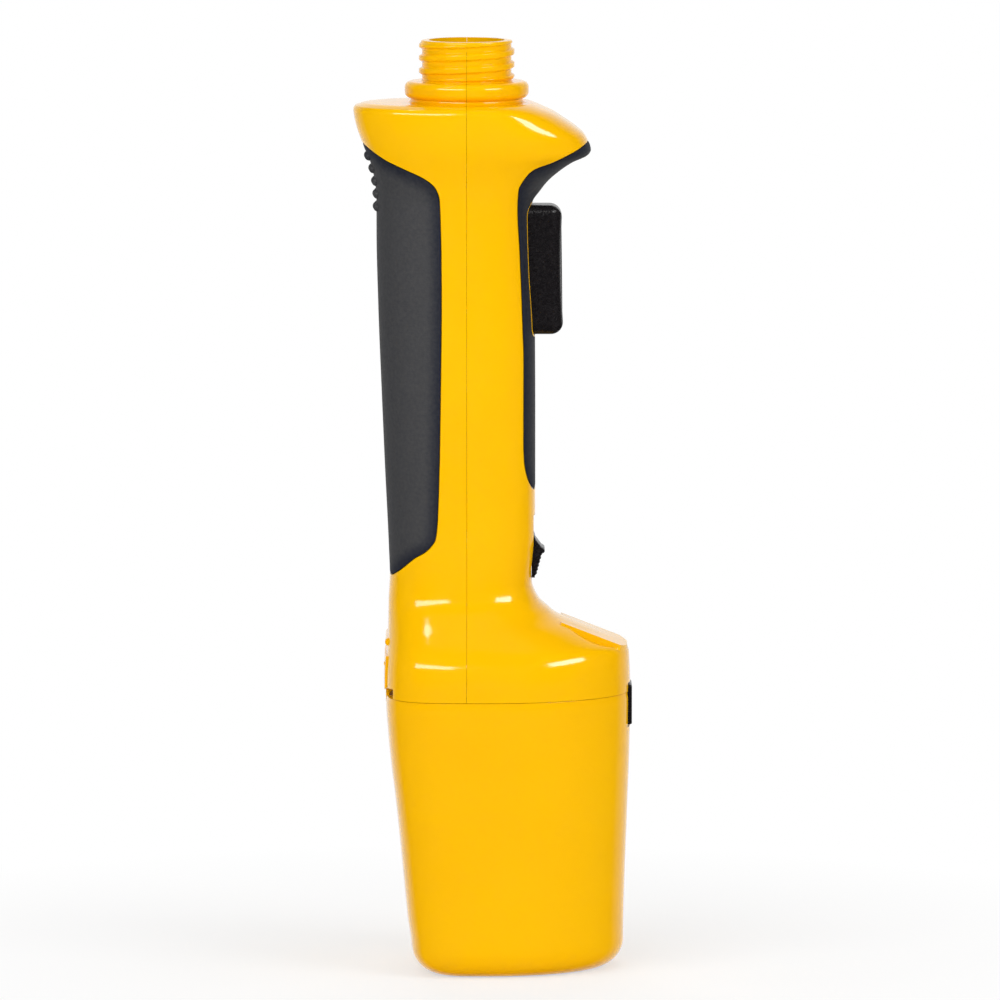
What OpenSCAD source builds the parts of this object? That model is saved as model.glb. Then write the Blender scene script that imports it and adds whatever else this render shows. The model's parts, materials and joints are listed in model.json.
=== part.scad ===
// Handle of a handheld livestock prod: two-part casing with rubber grips, trigger and hinged battery case.
// +Z runs up the handle, +X is the trigger side, Z = 0 is the foot. The neck axis is X = Y = 0.

/* [Heights] */
// Height of the battery case, up to the seam
case_h = 76.7; // [70:0.1:90]
// Height of the shoulder between case and grip
shoulder_h = 30; // [24:0.5:40]
// Height of the straight grip
grip_h = 105; // [100:0.5:130]
// Height of the flared guard
guard_h = 26.8; // [24:0.2:34]
// Height of the hollow between guard and flange
cove_h = 1.4; // [1:0.1:3]
// Thickness of the flange below the thread
flange_h = 4.6; // [3:0.1:8]
// Height of the threaded neck
neck_h = 11.2; // [9:0.1:18]

/* [Outline] */
// Reach of the case to the front, at the seam
case_front = 45; // [44:0.5:52]
// Reach of the case to the back, at the seam
case_back = 22.3; // [21:0.1:28]
// Half the depth of the case, at the seam
case_half = 30.5; // [30:0.1:36]
// How much the case draws in from the seam to the foot, at the front
front_taper = 1.8; // [1:0.1:4]
// How much the case draws in from the seam to the foot, at the back
back_taper = 6.9; // [5:0.1:8]
// How much each side of the case draws in from the seam to the foot
side_taper = 1.2; // [0.5:0.1:2]
// Radius of the edge round the foot
foot_r = 7.5; // [5:0.1:8]
// Reach of the grip to the front
grip_front = 18.8; // [18:0.1:23]
// Reach of the grip to the back
grip_back = 24.75; // [24:0.05:29]
// Half the depth of the grip
grip_half = 17.5; // [17:0.1:21]
// Reach of the guard tip to the front
guard_front = 34; // [28:0.1:42]
// Reach of the guard to the back
guard_back = 31.1; // [28:0.1:38]
// Half the depth of the guard
guard_half = 22.3; // [21:0.1:28]

/* [Neck] */
// Radius of the neck at the root of its thread
neck_r = 12.25; // [12:0.05:15]
// Height of the thread ridge above its root
thread_d = 0.85; // [0.4:0.05:1.2]
// Pitch of the thread
thread_pitch = 3.5; // [3:0.1:4.5]
// Radius of the flange below the thread
flange_r = 17; // [15:0.1:19]
// Radius of the hole through the neck
neck_bore_r = 10.4; // [9.8:0.05:10.8]
// Radius of the socket that takes the shaft's plug
socket_r = 8.4; // [7:0.05:8.8]
// Depth of the socket
socket_depth = 12; // [10:0.5:13]
// Drop of the socket's mouth below the rim
socket_drop = 4; // [2:0.5:6]

/* [Walls] */
// Thickness of the handle's wall, with its rubber
wall = 3; // [2.6:0.1:3.4]
// Thickness of the rubber in that wall
rubber_t = 1.5; // [1:0.1:1.8]
// Thickness of the battery case's wall
case_wall = 2.2; // [1.6:0.1:2.5]
// Thickness of the battery case's floor
case_floor = 3; // [2:0.1:5]

/* [Trigger] */
// Height of the trigger paddle
trigger_h = 35.5; // [32:0.5:38]
// Width of the trigger paddle
trigger_w = 12; // [11.4:0.2:15]
// How far the paddle stands out past the grip
trigger_proud = 7.6; // [6.5:0.1:10]
// Gap from the paddle's top to the guard
trigger_drop = 1; // [0.5:0.1:4]
// Travel of the trigger
trigger_travel = 4.5; // [3:0.1:5]

/* [Safety slider] */
// Height of the slider's plate
safety_h = 11.9; // [11:0.1:13]
// Width of the slider's plate
safety_w = 10; // [8:0.2:11]
// Travel of the slider
safety_travel = 5; // [3:0.1:5.5]
// Height of the slider's foot above the shoulder
safety_rise = 1.4; // [1:0.1:4]

/* [Battery case] */
// Room between the pair of cells and the case's sides, which sets the diameter of the cells
cell_room = 0.9; // [0.8:0.1:2.5]
// Height of the cradle under the cells, which sets the height of the cells
cradle_h = 13.9; // [11:0.1:16]
// Height of the latch
latch_h = 11; // [10.5:0.1:13]
// Width of the latch
latch_w = 12; // [10:0.2:13]
// Radius of the hinge knuckles
knuckle_r = 1.9; // [1.7:0.05:2]
// Radius of the hinge pin
hinge_pin_r = 0.9; // [0.7:0.05:1.1]

/* [Hidden] */

// Colours
yellow = [1, 0.72, 0.02];
rubber = [0.2, 0.2, 0.22];
black = [0.1, 0.1, 0.11];
steel = [0.72, 0.72, 0.74];
brass = [0.8, 0.64, 0.3];
ivory = [0.85, 0.82, 0.74];
green = [0.1, 0.35, 0.2];
copper = [0.72, 0.4, 0.2];

// Clearances and overrun
over = 1;
fit = 0.3;
slide_fit = 0.05;
touch = 0.1;

// Levels of the handle
z_grip = case_h + shoulder_h;
z_guard = z_grip + grip_h;
z_top = z_guard + guard_h;
z_flange = z_top + cove_h;
z_neck = z_flange + flange_h;
z_rim = z_neck + neck_h;
roof = z_top - wall;

// Foot of the battery case
foot_front = case_front - front_taper;
foot_back = case_back - back_taper;
foot_half = case_half - side_taper;

// Sides of the round cuts in meshed mouldings
mesh_fn = 16;
// Points round each section of the handle
ring_n = 28;
// Roundness of the sections: 2 is an ellipse, more is squarer
case_back_power = 4;
case_front_power = 2.1;
grip_power = 2.5;
guard_power = 2.25;
// Place of the widest point of each section along X, as a share of the reach there
case_wide_share = 0.12;
grip_wide_share = -0.16;

// Side outlines: height share of the zone, then share from one named reach to the next
case_front_shares = [[0, 0], [0.12, 0], [0.35, 0.22], [0.49, 0.44], [0.64, 0.67], [0.79, 0.89], [1, 1]];
case_back_shares = [[0, 0], [0.08, 0], [0.2, 0.16], [0.35, 0.32], [0.5, 0.48], [0.64, 0.65],
    [0.75, 0.8], [0.85, 0.91], [0.96, 0.99], [1, 1]];
shoulder_front_shares = [[0.2, 0.005], [0.36, 0.015], [0.42, 0.045], [0.47, 0.16], [0.52, 0.3], [0.57, 0.43],
    [0.62, 0.565], [0.67, 0.7], [0.71, 0.775], [0.76, 0.835], [0.82, 0.91], [0.89, 0.96], [1, 1]];
shoulder_back_shares = [[0.17, 0], [0.63, 0.6], [0.83, 0.7], [1, 1]];
shoulder_half_shares = [[0.17, 0], [0.3, 0.04], [0.43, 0.18], [0.57, 0.42], [0.7, 0.68], [0.8, 0.855],
    [0.9, 0.95], [1, 0.985]];
grip_front_shares = [[0, 0.952], [0.12, 1], [0.45, 1], [0.65, 0.995], [0.83, 0.94], [0.96, 0.92], [1, 0.965]];
grip_back_shares = [[0, 0.861], [0.02, 0.857], [0.09, 0.867], [0.3, 0.909], [0.5, 0.945], [0.73, 0.982],
    [0.92, 1], [1, 1]];
guard_front_shares = [[0.1, 0.08], [0.2, 0.22], [0.3, 0.42], [0.4, 0.68], [0.475, 0.955], [0.52, 1],
    [0.565, 0.985], [0.6, 0.96], [0.68, 0.885], [0.75, 0.75], [0.82, 0.575], [0.91, 0.32], [1, -0.05]];
guard_back_shares = [[0.15, 0.04], [0.3, 0.15], [0.43, 0.31], [0.53, 0.5], [0.62, 0.65], [0.76, 0.86],
    [0.88, 0.97], [0.945, 1], [0.98, 0.9], [1, 0.62]];
guard_half_shares = [[0.15, 0.1], [0.3, 0.31], [0.45, 0.62], [0.6, 0.87], [0.75, 0.97], [0.9, 1],
    [0.965, 0.88], [0.99, 0.65], [1, 0.5]];

// Heights at which the sections are drawn
foot_level_shares = [0, 0.04, 0.14, 0.3, 0.55, 1];
case_level_shares = [0.2, 0.35, 0.5, 0.64, 0.75, 0.85, 0.96];
shoulder_level_shares = [0, 0.2, 0.36, 0.42, 0.47, 0.57, 0.67, 0.71, 0.76, 0.82, 0.89, 1];
grip_level_shares = [0.05, 0.12, 0.3, 0.5, 0.65, 0.83, 0.92, 0.96, 1];
guard_level_shares = [0.1, 0.2, 0.3, 0.4, 0.475, 0.52, 0.565, 0.68, 0.82, 0.92, 0.975, 1];
shoulder_cavity_shares = [0.12, 0.4, 0.55, 0.7, 0.85, 1];
grip_cavity_shares = [0.12, 0.65, 0.96];
guard_cavity_shares = [0.25, 0.5];

function blend(a, b, s) = a + (b - a) * s;
function zone(z0, h, shares, a, b) = [for (p = shares) [z0 + h * p[0], blend(a, b, p[1])]];

front_line = concat(
    zone(0, case_h, case_front_shares, foot_front, case_front),
    zone(case_h, shoulder_h, shoulder_front_shares, case_front, grip_front * grip_front_shares[0][1]),
    zone(z_grip, grip_h, [for (i = [1:len(grip_front_shares) - 1]) grip_front_shares[i]], 0, grip_front),
    zone(z_guard, guard_h, guard_front_shares, grip_front, guard_front)
);
back_line = concat(
    zone(0, case_h, case_back_shares, foot_back, case_back),
    zone(case_h, shoulder_h, shoulder_back_shares, case_back, grip_back * grip_back_shares[0][1]),
    zone(z_grip, grip_h, [for (i = [1:len(grip_back_shares) - 1]) grip_back_shares[i]], 0, grip_back),
    zone(z_guard, guard_h, guard_back_shares, grip_back, guard_back)
);
half_line = concat(
    [[0, foot_half], [case_h, case_half]],
    zone(case_h, shoulder_h, shoulder_half_shares, case_half, grip_half),
    [[z_grip + grip_level_shares[0] * grip_h, grip_half], [z_guard, grip_half]],
    zone(z_guard, guard_h, guard_half_shares, grip_half, guard_half)
);
wide_line = [[0, case_wide_share * case_front], [case_h, case_wide_share * case_front],
    [z_grip, grip_wide_share * grip_front], [z_guard, grip_wide_share * grip_front], [z_top, 0]];
back_power_line = [[case_h, case_back_power], [z_grip, grip_power], [z_guard, grip_power],
    [z_top, guard_power]];
front_power_line = [[case_h, case_front_power], [z_grip, grip_power], [z_guard, grip_power],
    [z_top, guard_power]];

// Reach at a height, taken in by d from the outer skin, or let out where d is negative
function reach(line, z, d) =
    let (near = [lookup(z - abs(d), line), lookup(z, line), lookup(z + abs(d), line)])
    (d > 0 ? min(near) : max(near)) - d;

// Points of the section at a height, taken in by d, and by e more all round
function section(z, d, e = 0) =
    let (
        c = lookup(z, wide_line),
        front = reach(front_line, z, d) - e - c,
        back = reach(back_line, z, d) - e + c,
        half = reach(half_line, z, d) - e,
        front_power = 2 / lookup(z, front_power_line),
        back_power = 2 / lookup(z, back_power_line)
    )
    [for (i = [0:ring_n - 1])
        let (u = cos(360 * i / ring_n), v = sin(360 * i / ring_n))
        u >= 0
            ? [c + front * pow(u, front_power), half * sign(v) * pow(abs(v), front_power), z]
            : [c - back * pow(-u, back_power), half * sign(v) * pow(abs(v), back_power), z]
    ];

// Front of the handle at a height and a distance off the middle, taken in by d
function front_x(z, y, d) =
    let (
        c = lookup(z, wide_line),
        n = lookup(z, front_power_line),
        side = min(abs(y) / reach(half_line, z, d), 1)
    )
    c + (reach(front_line, z, d) - c) * pow(1 - pow(side, n), 1 / n);

// Back of the handle at a height and a distance off the middle, taken in by d
function back_x(z, y, d) =
    let (
        c = lookup(z, wide_line),
        n = lookup(z, back_power_line),
        side = min(abs(y) / reach(half_line, z, d), 1)
    )
    c - (reach(back_line, z, d) + c) * pow(1 - pow(side, n), 1 / n);

// How far the edge of radius r draws in at height z above its own start
function foot_in(z, r) = z < r ? r - sqrt(r * r - (r - z) * (r - z)) : 0;

// Closed skin through rings of points, lowest ring first
module skin(rings) {
    n = len(rings[0]);
    last = len(rings) - 1;
    polyhedron(
        points = [for (r = rings) each r],
        faces = concat(
            [[for (i = [0:n - 1]) i]],
            [for (j = [0:last - 1], i = [0:n - 1])
                let (k = (i + 1) % n)
                each [[j * n + i, (j + 1) * n + i, (j + 1) * n + k],
                    [j * n + i, (j + 1) * n + k, j * n + k]]],
            [[for (i = [n - 1:-1:0]) last * n + i]]
        )
    );
}

// A freeform moulding, kept as one meshed skin
module moulded() {
    resize([0, 0, 0]) children();
}

function levels(z0, h, shares) = [for (s = shares) z0 + h * s];

handle_levels = concat(
    levels(case_h, shoulder_h, shoulder_level_shares),
    levels(z_grip, grip_h, grip_level_shares),
    levels(z_guard, guard_h, guard_level_shares)
);
cavity_levels = concat(
    [case_h - over],
    levels(case_h, shoulder_h, shoulder_cavity_shares),
    levels(z_grip, grip_h, grip_cavity_shares),
    levels(z_guard, guard_h, guard_cavity_shares),
    [roof]
);

module handle_skin(d) {
    skin([for (z = handle_levels) section(z, d)]);
}

module cavity() {
    skin([for (z = cavity_levels) section(z, wall)]);
}

// Side outlines of the rubber: share of the grip's height, past 1 of the guard's, then share of the reach at
// the back or the front. The palm edge runs up the near side, and the finger edge likewise.
palm_edge_shares = [[-0.03, 1.2], [0.023, 0.84], [0.041, 0.745], [0.075, 0.585], [0.1, 0.43], [0.13, 0.345],
    [0.2, 0.32], [0.52, 0.29], [0.75, 0.28], [1.04, 0.3], [1.157, 0.345], [1.235, 0.46], [1.333, 0.68],
    [1.392, 0.9], [1.588, 1.25]];
finger_edge_shares = [[0.245, 1.2], [0.247, 0.98], [0.263, 0.93], [0.284, 0.884], [0.307, 0.855],
    [0.335, 0.838], [0.37, 0.832], [0.59, 0.834], [0.67, 0.82], [0.87, 0.777], [0.985, 0.745],
    [1.137, 0.76], [1.247, 0.835], [1.353, 0.98], [1.392, 1.12], [1.418, 1.229],
    [1.48, 1.42], [1.545, 1.606], [1.6, 1.74], [1.625, 1.8], [1.66, 2.2]];
function edge_z(share) = share < 1 ? z_grip + share * grip_h : z_guard + (share - 1) * guard_h;

module palm_zone() {
    rotate([90, 0, 0])
        linear_extrude(4 * grip_half, center = true)
            polygon(concat(
                [for (p = palm_edge_shares) [-p[1] * grip_back, edge_z(p[0])]],
                [[-2 * guard_back, z_top], [-2 * guard_back, z_grip]]
            ));
}

// Trigger places
trigger_top = z_guard - trigger_drop;
trigger_foot = trigger_top - trigger_h;
trigger_mid = trigger_foot + trigger_h / 2;
trigger_face = grip_front + trigger_proud;
trigger_corner = 2.2;
trigger_lip = 1.4;
trigger_lip_t = 2;
window_rim = 0.6;
// Heights on the paddle at which the room behind the wall is read
trigger_level_shares = [0, 0.5, 0.87, 0.91, 0.97];
trigger_lip_front = min([for (s = trigger_level_shares)
    front_x(trigger_foot + s * trigger_h, trigger_w / 2 + trigger_lip, wall)]) - fit;
trigger_back = trigger_lip_front - trigger_lip_t;

module trigger_window(grow) {
    translate([grip_front, 0, trigger_mid])
        rotate([0, 90, 0])
            linear_extrude(2 * guard_front, center = true)
                rounded_square([trigger_h + 2 * grow, trigger_w + 2 * grow], trigger_corner + grow);
}

module rounded_square(size, r) {
    square([size[0] - 2 * r, size[1]], center = true);
    square([size[0], size[1] - 2 * r], center = true);
    for (x = [-1, 1], y = [-1, 1])
        translate([x * (size[0] / 2 - r), y * (size[1] / 2 - r)])
            circle(r, $fn = 24);
}

module finger_zone() {
    difference() {
        rotate([90, 0, 0])
            linear_extrude(4 * guard_half, center = true)
                polygon(concat(
                    [for (p = finger_edge_shares) [p[1] * grip_front, edge_z(p[0])]],
                    [[2 * guard_front, z_top], [2 * guard_front, z_grip]]
                ));
        trigger_window(fit + window_rim);
    }
}

// Rubber that fills a zone of the handle's skin
module rubber_skin() {
    difference() {
        intersection() {
            handle_skin(0);
            children();
        }
        handle_skin(rubber_t);
    }
}

// Rows of thumb nubs down the back of the guard
nub_r = 1.25;
nub_step = 3.5;
nub_rows = 5;
nub_columns = 3;
nub_column_step = 4.4;
nub_sink_share = 0.15;
nub_top_share = 0.465;

module thumb_nubs() {
    for (i = [0:nub_rows - 1], j = [0:nub_columns - 1]) {
        z = z_guard + nub_top_share * guard_h - i * nub_step;
        y = (j - (nub_columns - 1) / 2) * nub_column_step;
        translate([back_x(z, y, 0) + nub_sink_share * nub_r, y, z])
            sphere(nub_r, $fn = 8);
    }
}

module palm_grip() {
    color(rubber)
        moulded() {
            rubber_skin()
                palm_zone();
            difference() {
                thumb_nubs();
                handle_skin(rubber_t / 2);
            }
        }
}

module finger_grip() {
    color(rubber)
        moulded()
            rubber_skin()
                finger_zone();
}

// Neck, flange and cove, solid
neck_fn = 48;
flange_edge = 1.6;
edge_steps = 3;
rim_edge = 0.5;
cove_share = 0.9;
// Points round the threaded neck, and its rings of points
thread_points = 28;
thread_rings = 14;
// Share of a turn at which the thread starts, shares of half a pitch for the groove and the slope of the
// ridge, and share of the neck for the thread's run-out
thread_start_share = 0.3;
thread_groove_share = 0.3;
thread_slope_share = 0.4;
thread_run_share = 0.12;

// Height of the right-handed thread above its root, at an angle and a height
function thread_rise(a, z) =
    let (
        turn = (z - z_neck) / thread_pitch - a / 360 - thread_start_share,
        wave = abs(2 * (turn - floor(turn)) - 1),
        run = min(z - z_neck, z_rim - z) / (thread_run_share * neck_h)
    )
    thread_d * max(0, min(1, (wave - thread_groove_share) / thread_slope_share, run));

function neck_ring(z, r) = [for (i = [0:thread_points - 1])
    let (a = 360 * i / thread_points, ring_r = r + thread_rise(a, z))
    [ring_r * cos(a), ring_r * sin(a), z]];

module neck_solid() {
    edge = [for (m = [0, 1], k = [0:edge_steps])
        let (a = (m ? 0 : -90) + 90 * k / edge_steps)
        [flange_r - flange_edge + flange_edge * cos(a),
            (m ? z_neck - flange_edge : z_flange + flange_edge) + flange_edge * sin(a)]
    ];
    rotate_extrude($fn = neck_fn)
        polygon(concat(
            [[0, roof], [flange_r * cove_share, roof], [flange_r * cove_share, z_flange]],
            edge,
            [[0, z_neck]]
        ));
    skin(concat(
        [neck_ring(z_neck - over, neck_r)],
        [for (k = [0:thread_rings])
            neck_ring(z_neck + (neck_h - rim_edge) * (k + 1) / (thread_rings + 1), neck_r)],
        [neck_ring(z_rim, neck_r - rim_edge)]
    ));
}

// Circuit board, standing along the grip, and the bosses that carry it
board_x = -8;
board_t = 1.6;
board_face = board_x + board_t;
board_half = 12;
board_rise = 16;
board_drop = 3;
board_foot = z_grip + board_rise;
board_top = trigger_top - board_drop;
board_screw_inset = 3;
board_screw_r = 1;
board_screw_head_r = 2;
board_screw_head_h = 1.5;
board_boss_r = 2.6;
board_screw_reach = 6;
board_screw_places = [for (y = [-1, 1], z = [board_foot + board_screw_inset, board_top - board_screw_inset])
    [y * (board_half - board_screw_inset), z]];

module board_bosses() {
    for (p = board_screw_places)
        translate([-grip_back, p[0], p[1]])
            rotate([0, 90, 0])
                cylinder(grip_back + board_x, r = board_boss_r, $fn = mesh_fn);
}

module board_holes() {
    for (p = board_screw_places)
        translate([board_x - board_screw_reach - fit, p[0], p[1]])
            rotate([0, 90, 0])
                cylinder(board_screw_reach + fit + over, r = board_screw_r + hole_fit, $fn = mesh_fn);
}

module circuit_board() {
    color(green)
        difference() {
            translate([board_x, -board_half, board_foot])
                cube([board_t, 2 * board_half, board_top - board_foot]);
            for (p = board_screw_places)
                translate([board_x - over, p[0], p[1]])
                    rotate([0, 90, 0])
                        cylinder(board_t + 2 * over, r = board_screw_r + slide_fit, $fn = 32);
        }
}

module board_screws() {
    color(steel)
        for (p = board_screw_places)
            translate([board_face, p[0], p[1]])
                rotate([0, 90, 0]) {
                    cylinder(board_screw_head_h, r = board_screw_head_r, $fn = 32);
                    translate([0, 0, -board_t - board_screw_reach])
                        cylinder(board_screw_reach + board_t, r = board_screw_r, $fn = 32);
                }
}

// Socket in the neck: flange under the casing's roof, stem through a shelf below it
socket_flange_r = 13.5;
socket_flange_h = 2.5;
socket_stem_r = 9;
socket_stem_h = 9;
shelf_t = 2;
socket_mouth = z_rim - socket_drop;
socket_floor = socket_mouth - socket_depth;
socket_flange_foot = roof - touch - socket_flange_h;
socket_stem_foot = socket_flange_foot - socket_stem_h;
contact_r = 1.6;
contact_y = 4.2;
contact_collar_r = 2.4;
contact_collar_h = 2;
contact_travel = 3;
chamber_r = 2.6;
chamber_drop = 4;
chamber_top = socket_floor - chamber_drop;
cap_t = 1.5;
cap_r = socket_stem_r - 2 * fit;

module shelf() {
    translate([0, 0, socket_flange_foot - touch - shelf_t])
        difference() {
            translate([-guard_front, -guard_front, 0])
                cube([2 * guard_front, 2 * guard_front, shelf_t]);
            translate([0, 0, -over])
                cylinder(shelf_t + 2 * over, r = socket_stem_r + fit, $fn = neck_fn);
        }
}

module socket_insert() {
    color(black)
        difference() {
            union() {
                translate([0, 0, socket_flange_foot])
                    cylinder(socket_flange_h, r = socket_flange_r, $fn = neck_fn);
                translate([0, 0, socket_flange_foot])
                    cylinder(socket_mouth - socket_flange_foot, r = neck_bore_r - 2 * touch, $fn = neck_fn);
                translate([0, 0, socket_stem_foot])
                    cylinder(socket_stem_h + over, r = socket_stem_r, $fn = neck_fn);
            }
            translate([0, 0, socket_floor])
                cylinder(socket_depth + over, r = socket_r, $fn = neck_fn);
            for (s = [-1, 1])
                translate([0, s * contact_y, 0]) {
                    translate([0, 0, chamber_top - over])
                        cylinder(socket_floor - chamber_top + 2 * over, r = contact_r + slide_fit, $fn = 32);
                    translate([0, 0, socket_stem_foot - over])
                        cylinder(chamber_top - socket_stem_foot + over, r = chamber_r, $fn = 32);
                }
        }
}

module socket_cap() {
    color(black)
        translate([0, 0, socket_stem_foot - cap_t])
            cylinder(cap_t, r = cap_r, $fn = neck_fn);
}

module output_contact(side) {
    color(brass)
        translate([0, side * contact_y, 0]) {
            translate([0, 0, chamber_top - contact_collar_h])
                cylinder(socket_floor - chamber_top + contact_collar_h, r = contact_r, $fn = 32);
            translate([0, 0, chamber_top - contact_collar_h - touch])
                cylinder(contact_collar_h, r = contact_collar_r, $fn = 32);
        }
}

module output_contact_1() {
    output_contact(-1);
}

module output_contact_2() {
    output_contact(1);
}

// Screws through the back shell into the front one, under the palm rubber: height, then place off the middle
screw_head_r = 2.7;
screw_head_h = 2;
screw_r = 1.4;
screw_front = 9;
screw_boss_r = 3.2;
screw_boss_wall = 1.2;
hole_fit = 0.08;
screw_y = 10;
screw_z_low = board_foot - screw_head_r - screw_boss_wall - 2 * fit;
screw_z_high = (trigger_top + trigger_lip + socket_stem_foot - cap_t) / 2;
screw_places = [for (s = [-1, 1], z = [screw_z_low, screw_z_high]) [z, s * screw_y]];
function screw_head_x(p) = back_x(p[0], screw_y + screw_head_r, rubber_t) + screw_head_h + fit;

module screw_bosses(front) {
    for (p = screw_places)
        translate([front ? 0 : -guard_back, p[1], p[0]])
            rotate([0, 90, 0])
                cylinder(front ? screw_front + screw_boss_wall : guard_back,
                    r = front ? screw_boss_r : screw_head_r + fit + screw_boss_wall, $fn = mesh_fn);
}

module screw_holes() {
    for (p = screw_places)
        translate([-guard_back, p[1], p[0]])
            rotate([0, 90, 0]) {
                cylinder(guard_back + screw_head_x(p), r = screw_head_r + fit, $fn = mesh_fn);
                cylinder(guard_back + screw_front + fit, r = screw_r + hole_fit, $fn = mesh_fn);
            }
}

module shell_screws() {
    color(steel)
        for (p = screw_places)
            translate([screw_head_x(p), p[1], p[0]])
                rotate([0, 90, 0]) {
                    translate([0, 0, -screw_head_h])
                        difference() {
                            cylinder(screw_head_h, r = screw_head_r, $fn = 32);
                            translate([0, 0, -over])
                                cylinder(over + screw_head_h / 2, r = screw_r, $fn = 6);
                        }
                    cylinder(screw_front - screw_head_x(p), r = screw_r, $fn = 32);
                }
}

// Tube along a path: rings of the given number of sides, square to the path
function unit(v) = v / norm(v);
function along(path, i) = unit(path[min(i + 1, len(path) - 1)] - path[max(i - 1, 0)]);
function tube_rings(path, r, sides, up) = [for (i = [0:len(path) - 1])
    let (t = along(path, i), u = unit(cross(t, up)), v = cross(t, u))
    [for (k = [0:sides - 1]) path[i] + r * (cos(360 * k / sides) * u + sin(360 * k / sides) * v)]];

module tube(path, r, sides, up) {
    skin(tube_rings(path, r, sides, up));
}

// Coil spring along +Z, with its least gap between turns printed
coil_rings = 8;
coil_sides = 6;
function coil_path(r, wire, h, turns) = [for (i = [0:turns * coil_rings])
    let (a = 360 * i / coil_rings)
    [r * cos(a), r * sin(a), wire + (h - 2 * wire) * i / (turns * coil_rings)]];
function least_gap(path, wire) = min([for (i = [0:len(path) - 1], j = [i + coil_rings / 2:len(path) - 1])
    if (j < len(path)) norm(path[i] - path[j])]) - 2 * wire;

module coil(r, wire, h, turns) {
    path = coil_path(r, wire, h, turns);
    echo(least_gap_mm = least_gap(path, wire));
    tube(path, wire, coil_sides, [0, 0, 1]);
}

output_wire = 0.3;
output_turns = 5;

module output_spring(side) {
    color(steel)
        translate([0, side * contact_y, socket_stem_foot + touch])
            coil(chamber_r - output_wire - fit, output_wire,
                chamber_top - contact_collar_h - socket_stem_foot - 3 * touch, output_turns);
}

module output_spring_1() {
    output_spring(-1);
}

module output_spring_2() {
    output_spring(1);
}

// Trigger, its switch and spring
post_r = 2.9;
pocket_r = 5;
pocket_depth = 11;
switch_front = trigger_back - trigger_travel - fit;
switch_half = 6;
switch_h = 20;
plunger_r = 2.2;
plunger_bite = 5;
spring_wire = 0.45;
spring_turns = 5;

module trigger() {
    color(black)
        difference() {
            union() {
                intersection() {
                    translate([trigger_back, 0, trigger_mid])
                        rotate([0, 90, 0])
                            linear_extrude(trigger_face - trigger_back)
                                rounded_square([trigger_h, trigger_w], trigger_corner);
                    translate([trigger_back, 0, trigger_mid])
                        rotate([90, 0, 0])
                            linear_extrude(trigger_w + over, center = true)
                                translate([(trigger_face - trigger_back) / 2 - trigger_corner, 0])
                                    rounded_square(
                                        [trigger_face - trigger_back + 2 * trigger_corner, trigger_h],
                                        trigger_corner);
                }
                translate([trigger_back, -trigger_w / 2 - trigger_lip, trigger_foot - trigger_lip])
                    cube([trigger_lip_t, trigger_w + 2 * trigger_lip, trigger_h + 2 * trigger_lip]);
            }
            translate([trigger_back, 0, trigger_mid])
                rotate([0, 90, 0])
                    difference() {
                        translate([0, 0, -over])
                            cylinder(pocket_depth + over, r = pocket_r, $fn = 48);
                        translate([0, 0, -2 * over])
                            cylinder(pocket_depth + 4 * over, r = post_r, $fn = 48);
                    }
        }
}

module switch_plunger() {
    color(ivory)
        translate([switch_front - plunger_bite, 0, trigger_mid])
            rotate([0, 90, 0])
                cylinder(plunger_bite + trigger_back - touch - switch_front, r = plunger_r, $fn = 48);
}

module trigger_spring() {
    color(steel)
        translate([switch_front + touch, 0, trigger_mid])
            rotate([0, 90, 0])
                coil((post_r + pocket_r) / 2, spring_wire,
                    trigger_back + pocket_depth - switch_front - 2 * touch, spring_turns);
}

module trigger_switch() {
    color(black)
        difference() {
            translate([board_face, -switch_half, trigger_mid - switch_h / 2])
                cube([switch_front - board_face, 2 * switch_half, switch_h]);
            translate([switch_front - plunger_bite - trigger_travel - fit, 0, trigger_mid])
                rotate([0, 90, 0])
                    cylinder(plunger_bite + trigger_travel + fit + over, r = plunger_r + slide_fit, $fn = 48);
        }
}

// Safety slider on a flat track in the front shell
safety_foot = z_grip + safety_rise;
safety_plate_t = 0.9;
safety_peak = 3.6;
track_x = front_x(safety_foot, 0, 0) - safety_plate_t / 3;
stem_half = 1.5;
stem_h = 4.5;
stem_foot = safety_foot + (safety_h - stem_h) / 2;
stem_reach = 7;
serrations = 4;
serration_d = 0.35;
safety_switch_half = 6;
safety_switch_back = 7.5;
safety_switch_end = 3;
safety_switch_foot = stem_foot - safety_switch_end;
safety_switch_top = stem_foot + stem_h + safety_travel + safety_switch_end;
safety_switch_front = min(
    front_x(safety_switch_foot, safety_switch_half, wall),
    front_x(safety_switch_top, safety_switch_half, wall),
    front_x(z_grip + safety_rise, safety_switch_half, wall)
) - fit;
ridge_shares = [[0.03, 0], [0.63, 1], [0.7, 0.93], [0.97, 0]];

module safety_track() {
    translate([track_x, -safety_w / 2 - fit, safety_foot - fit])
        cube([guard_front, safety_w + 2 * fit, safety_h + safety_travel + 2 * fit]);
    translate([0, -stem_half - fit, stem_foot - fit])
        cube([guard_front, 2 * (stem_half + fit), stem_h + safety_travel + 2 * fit]);
}

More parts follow.
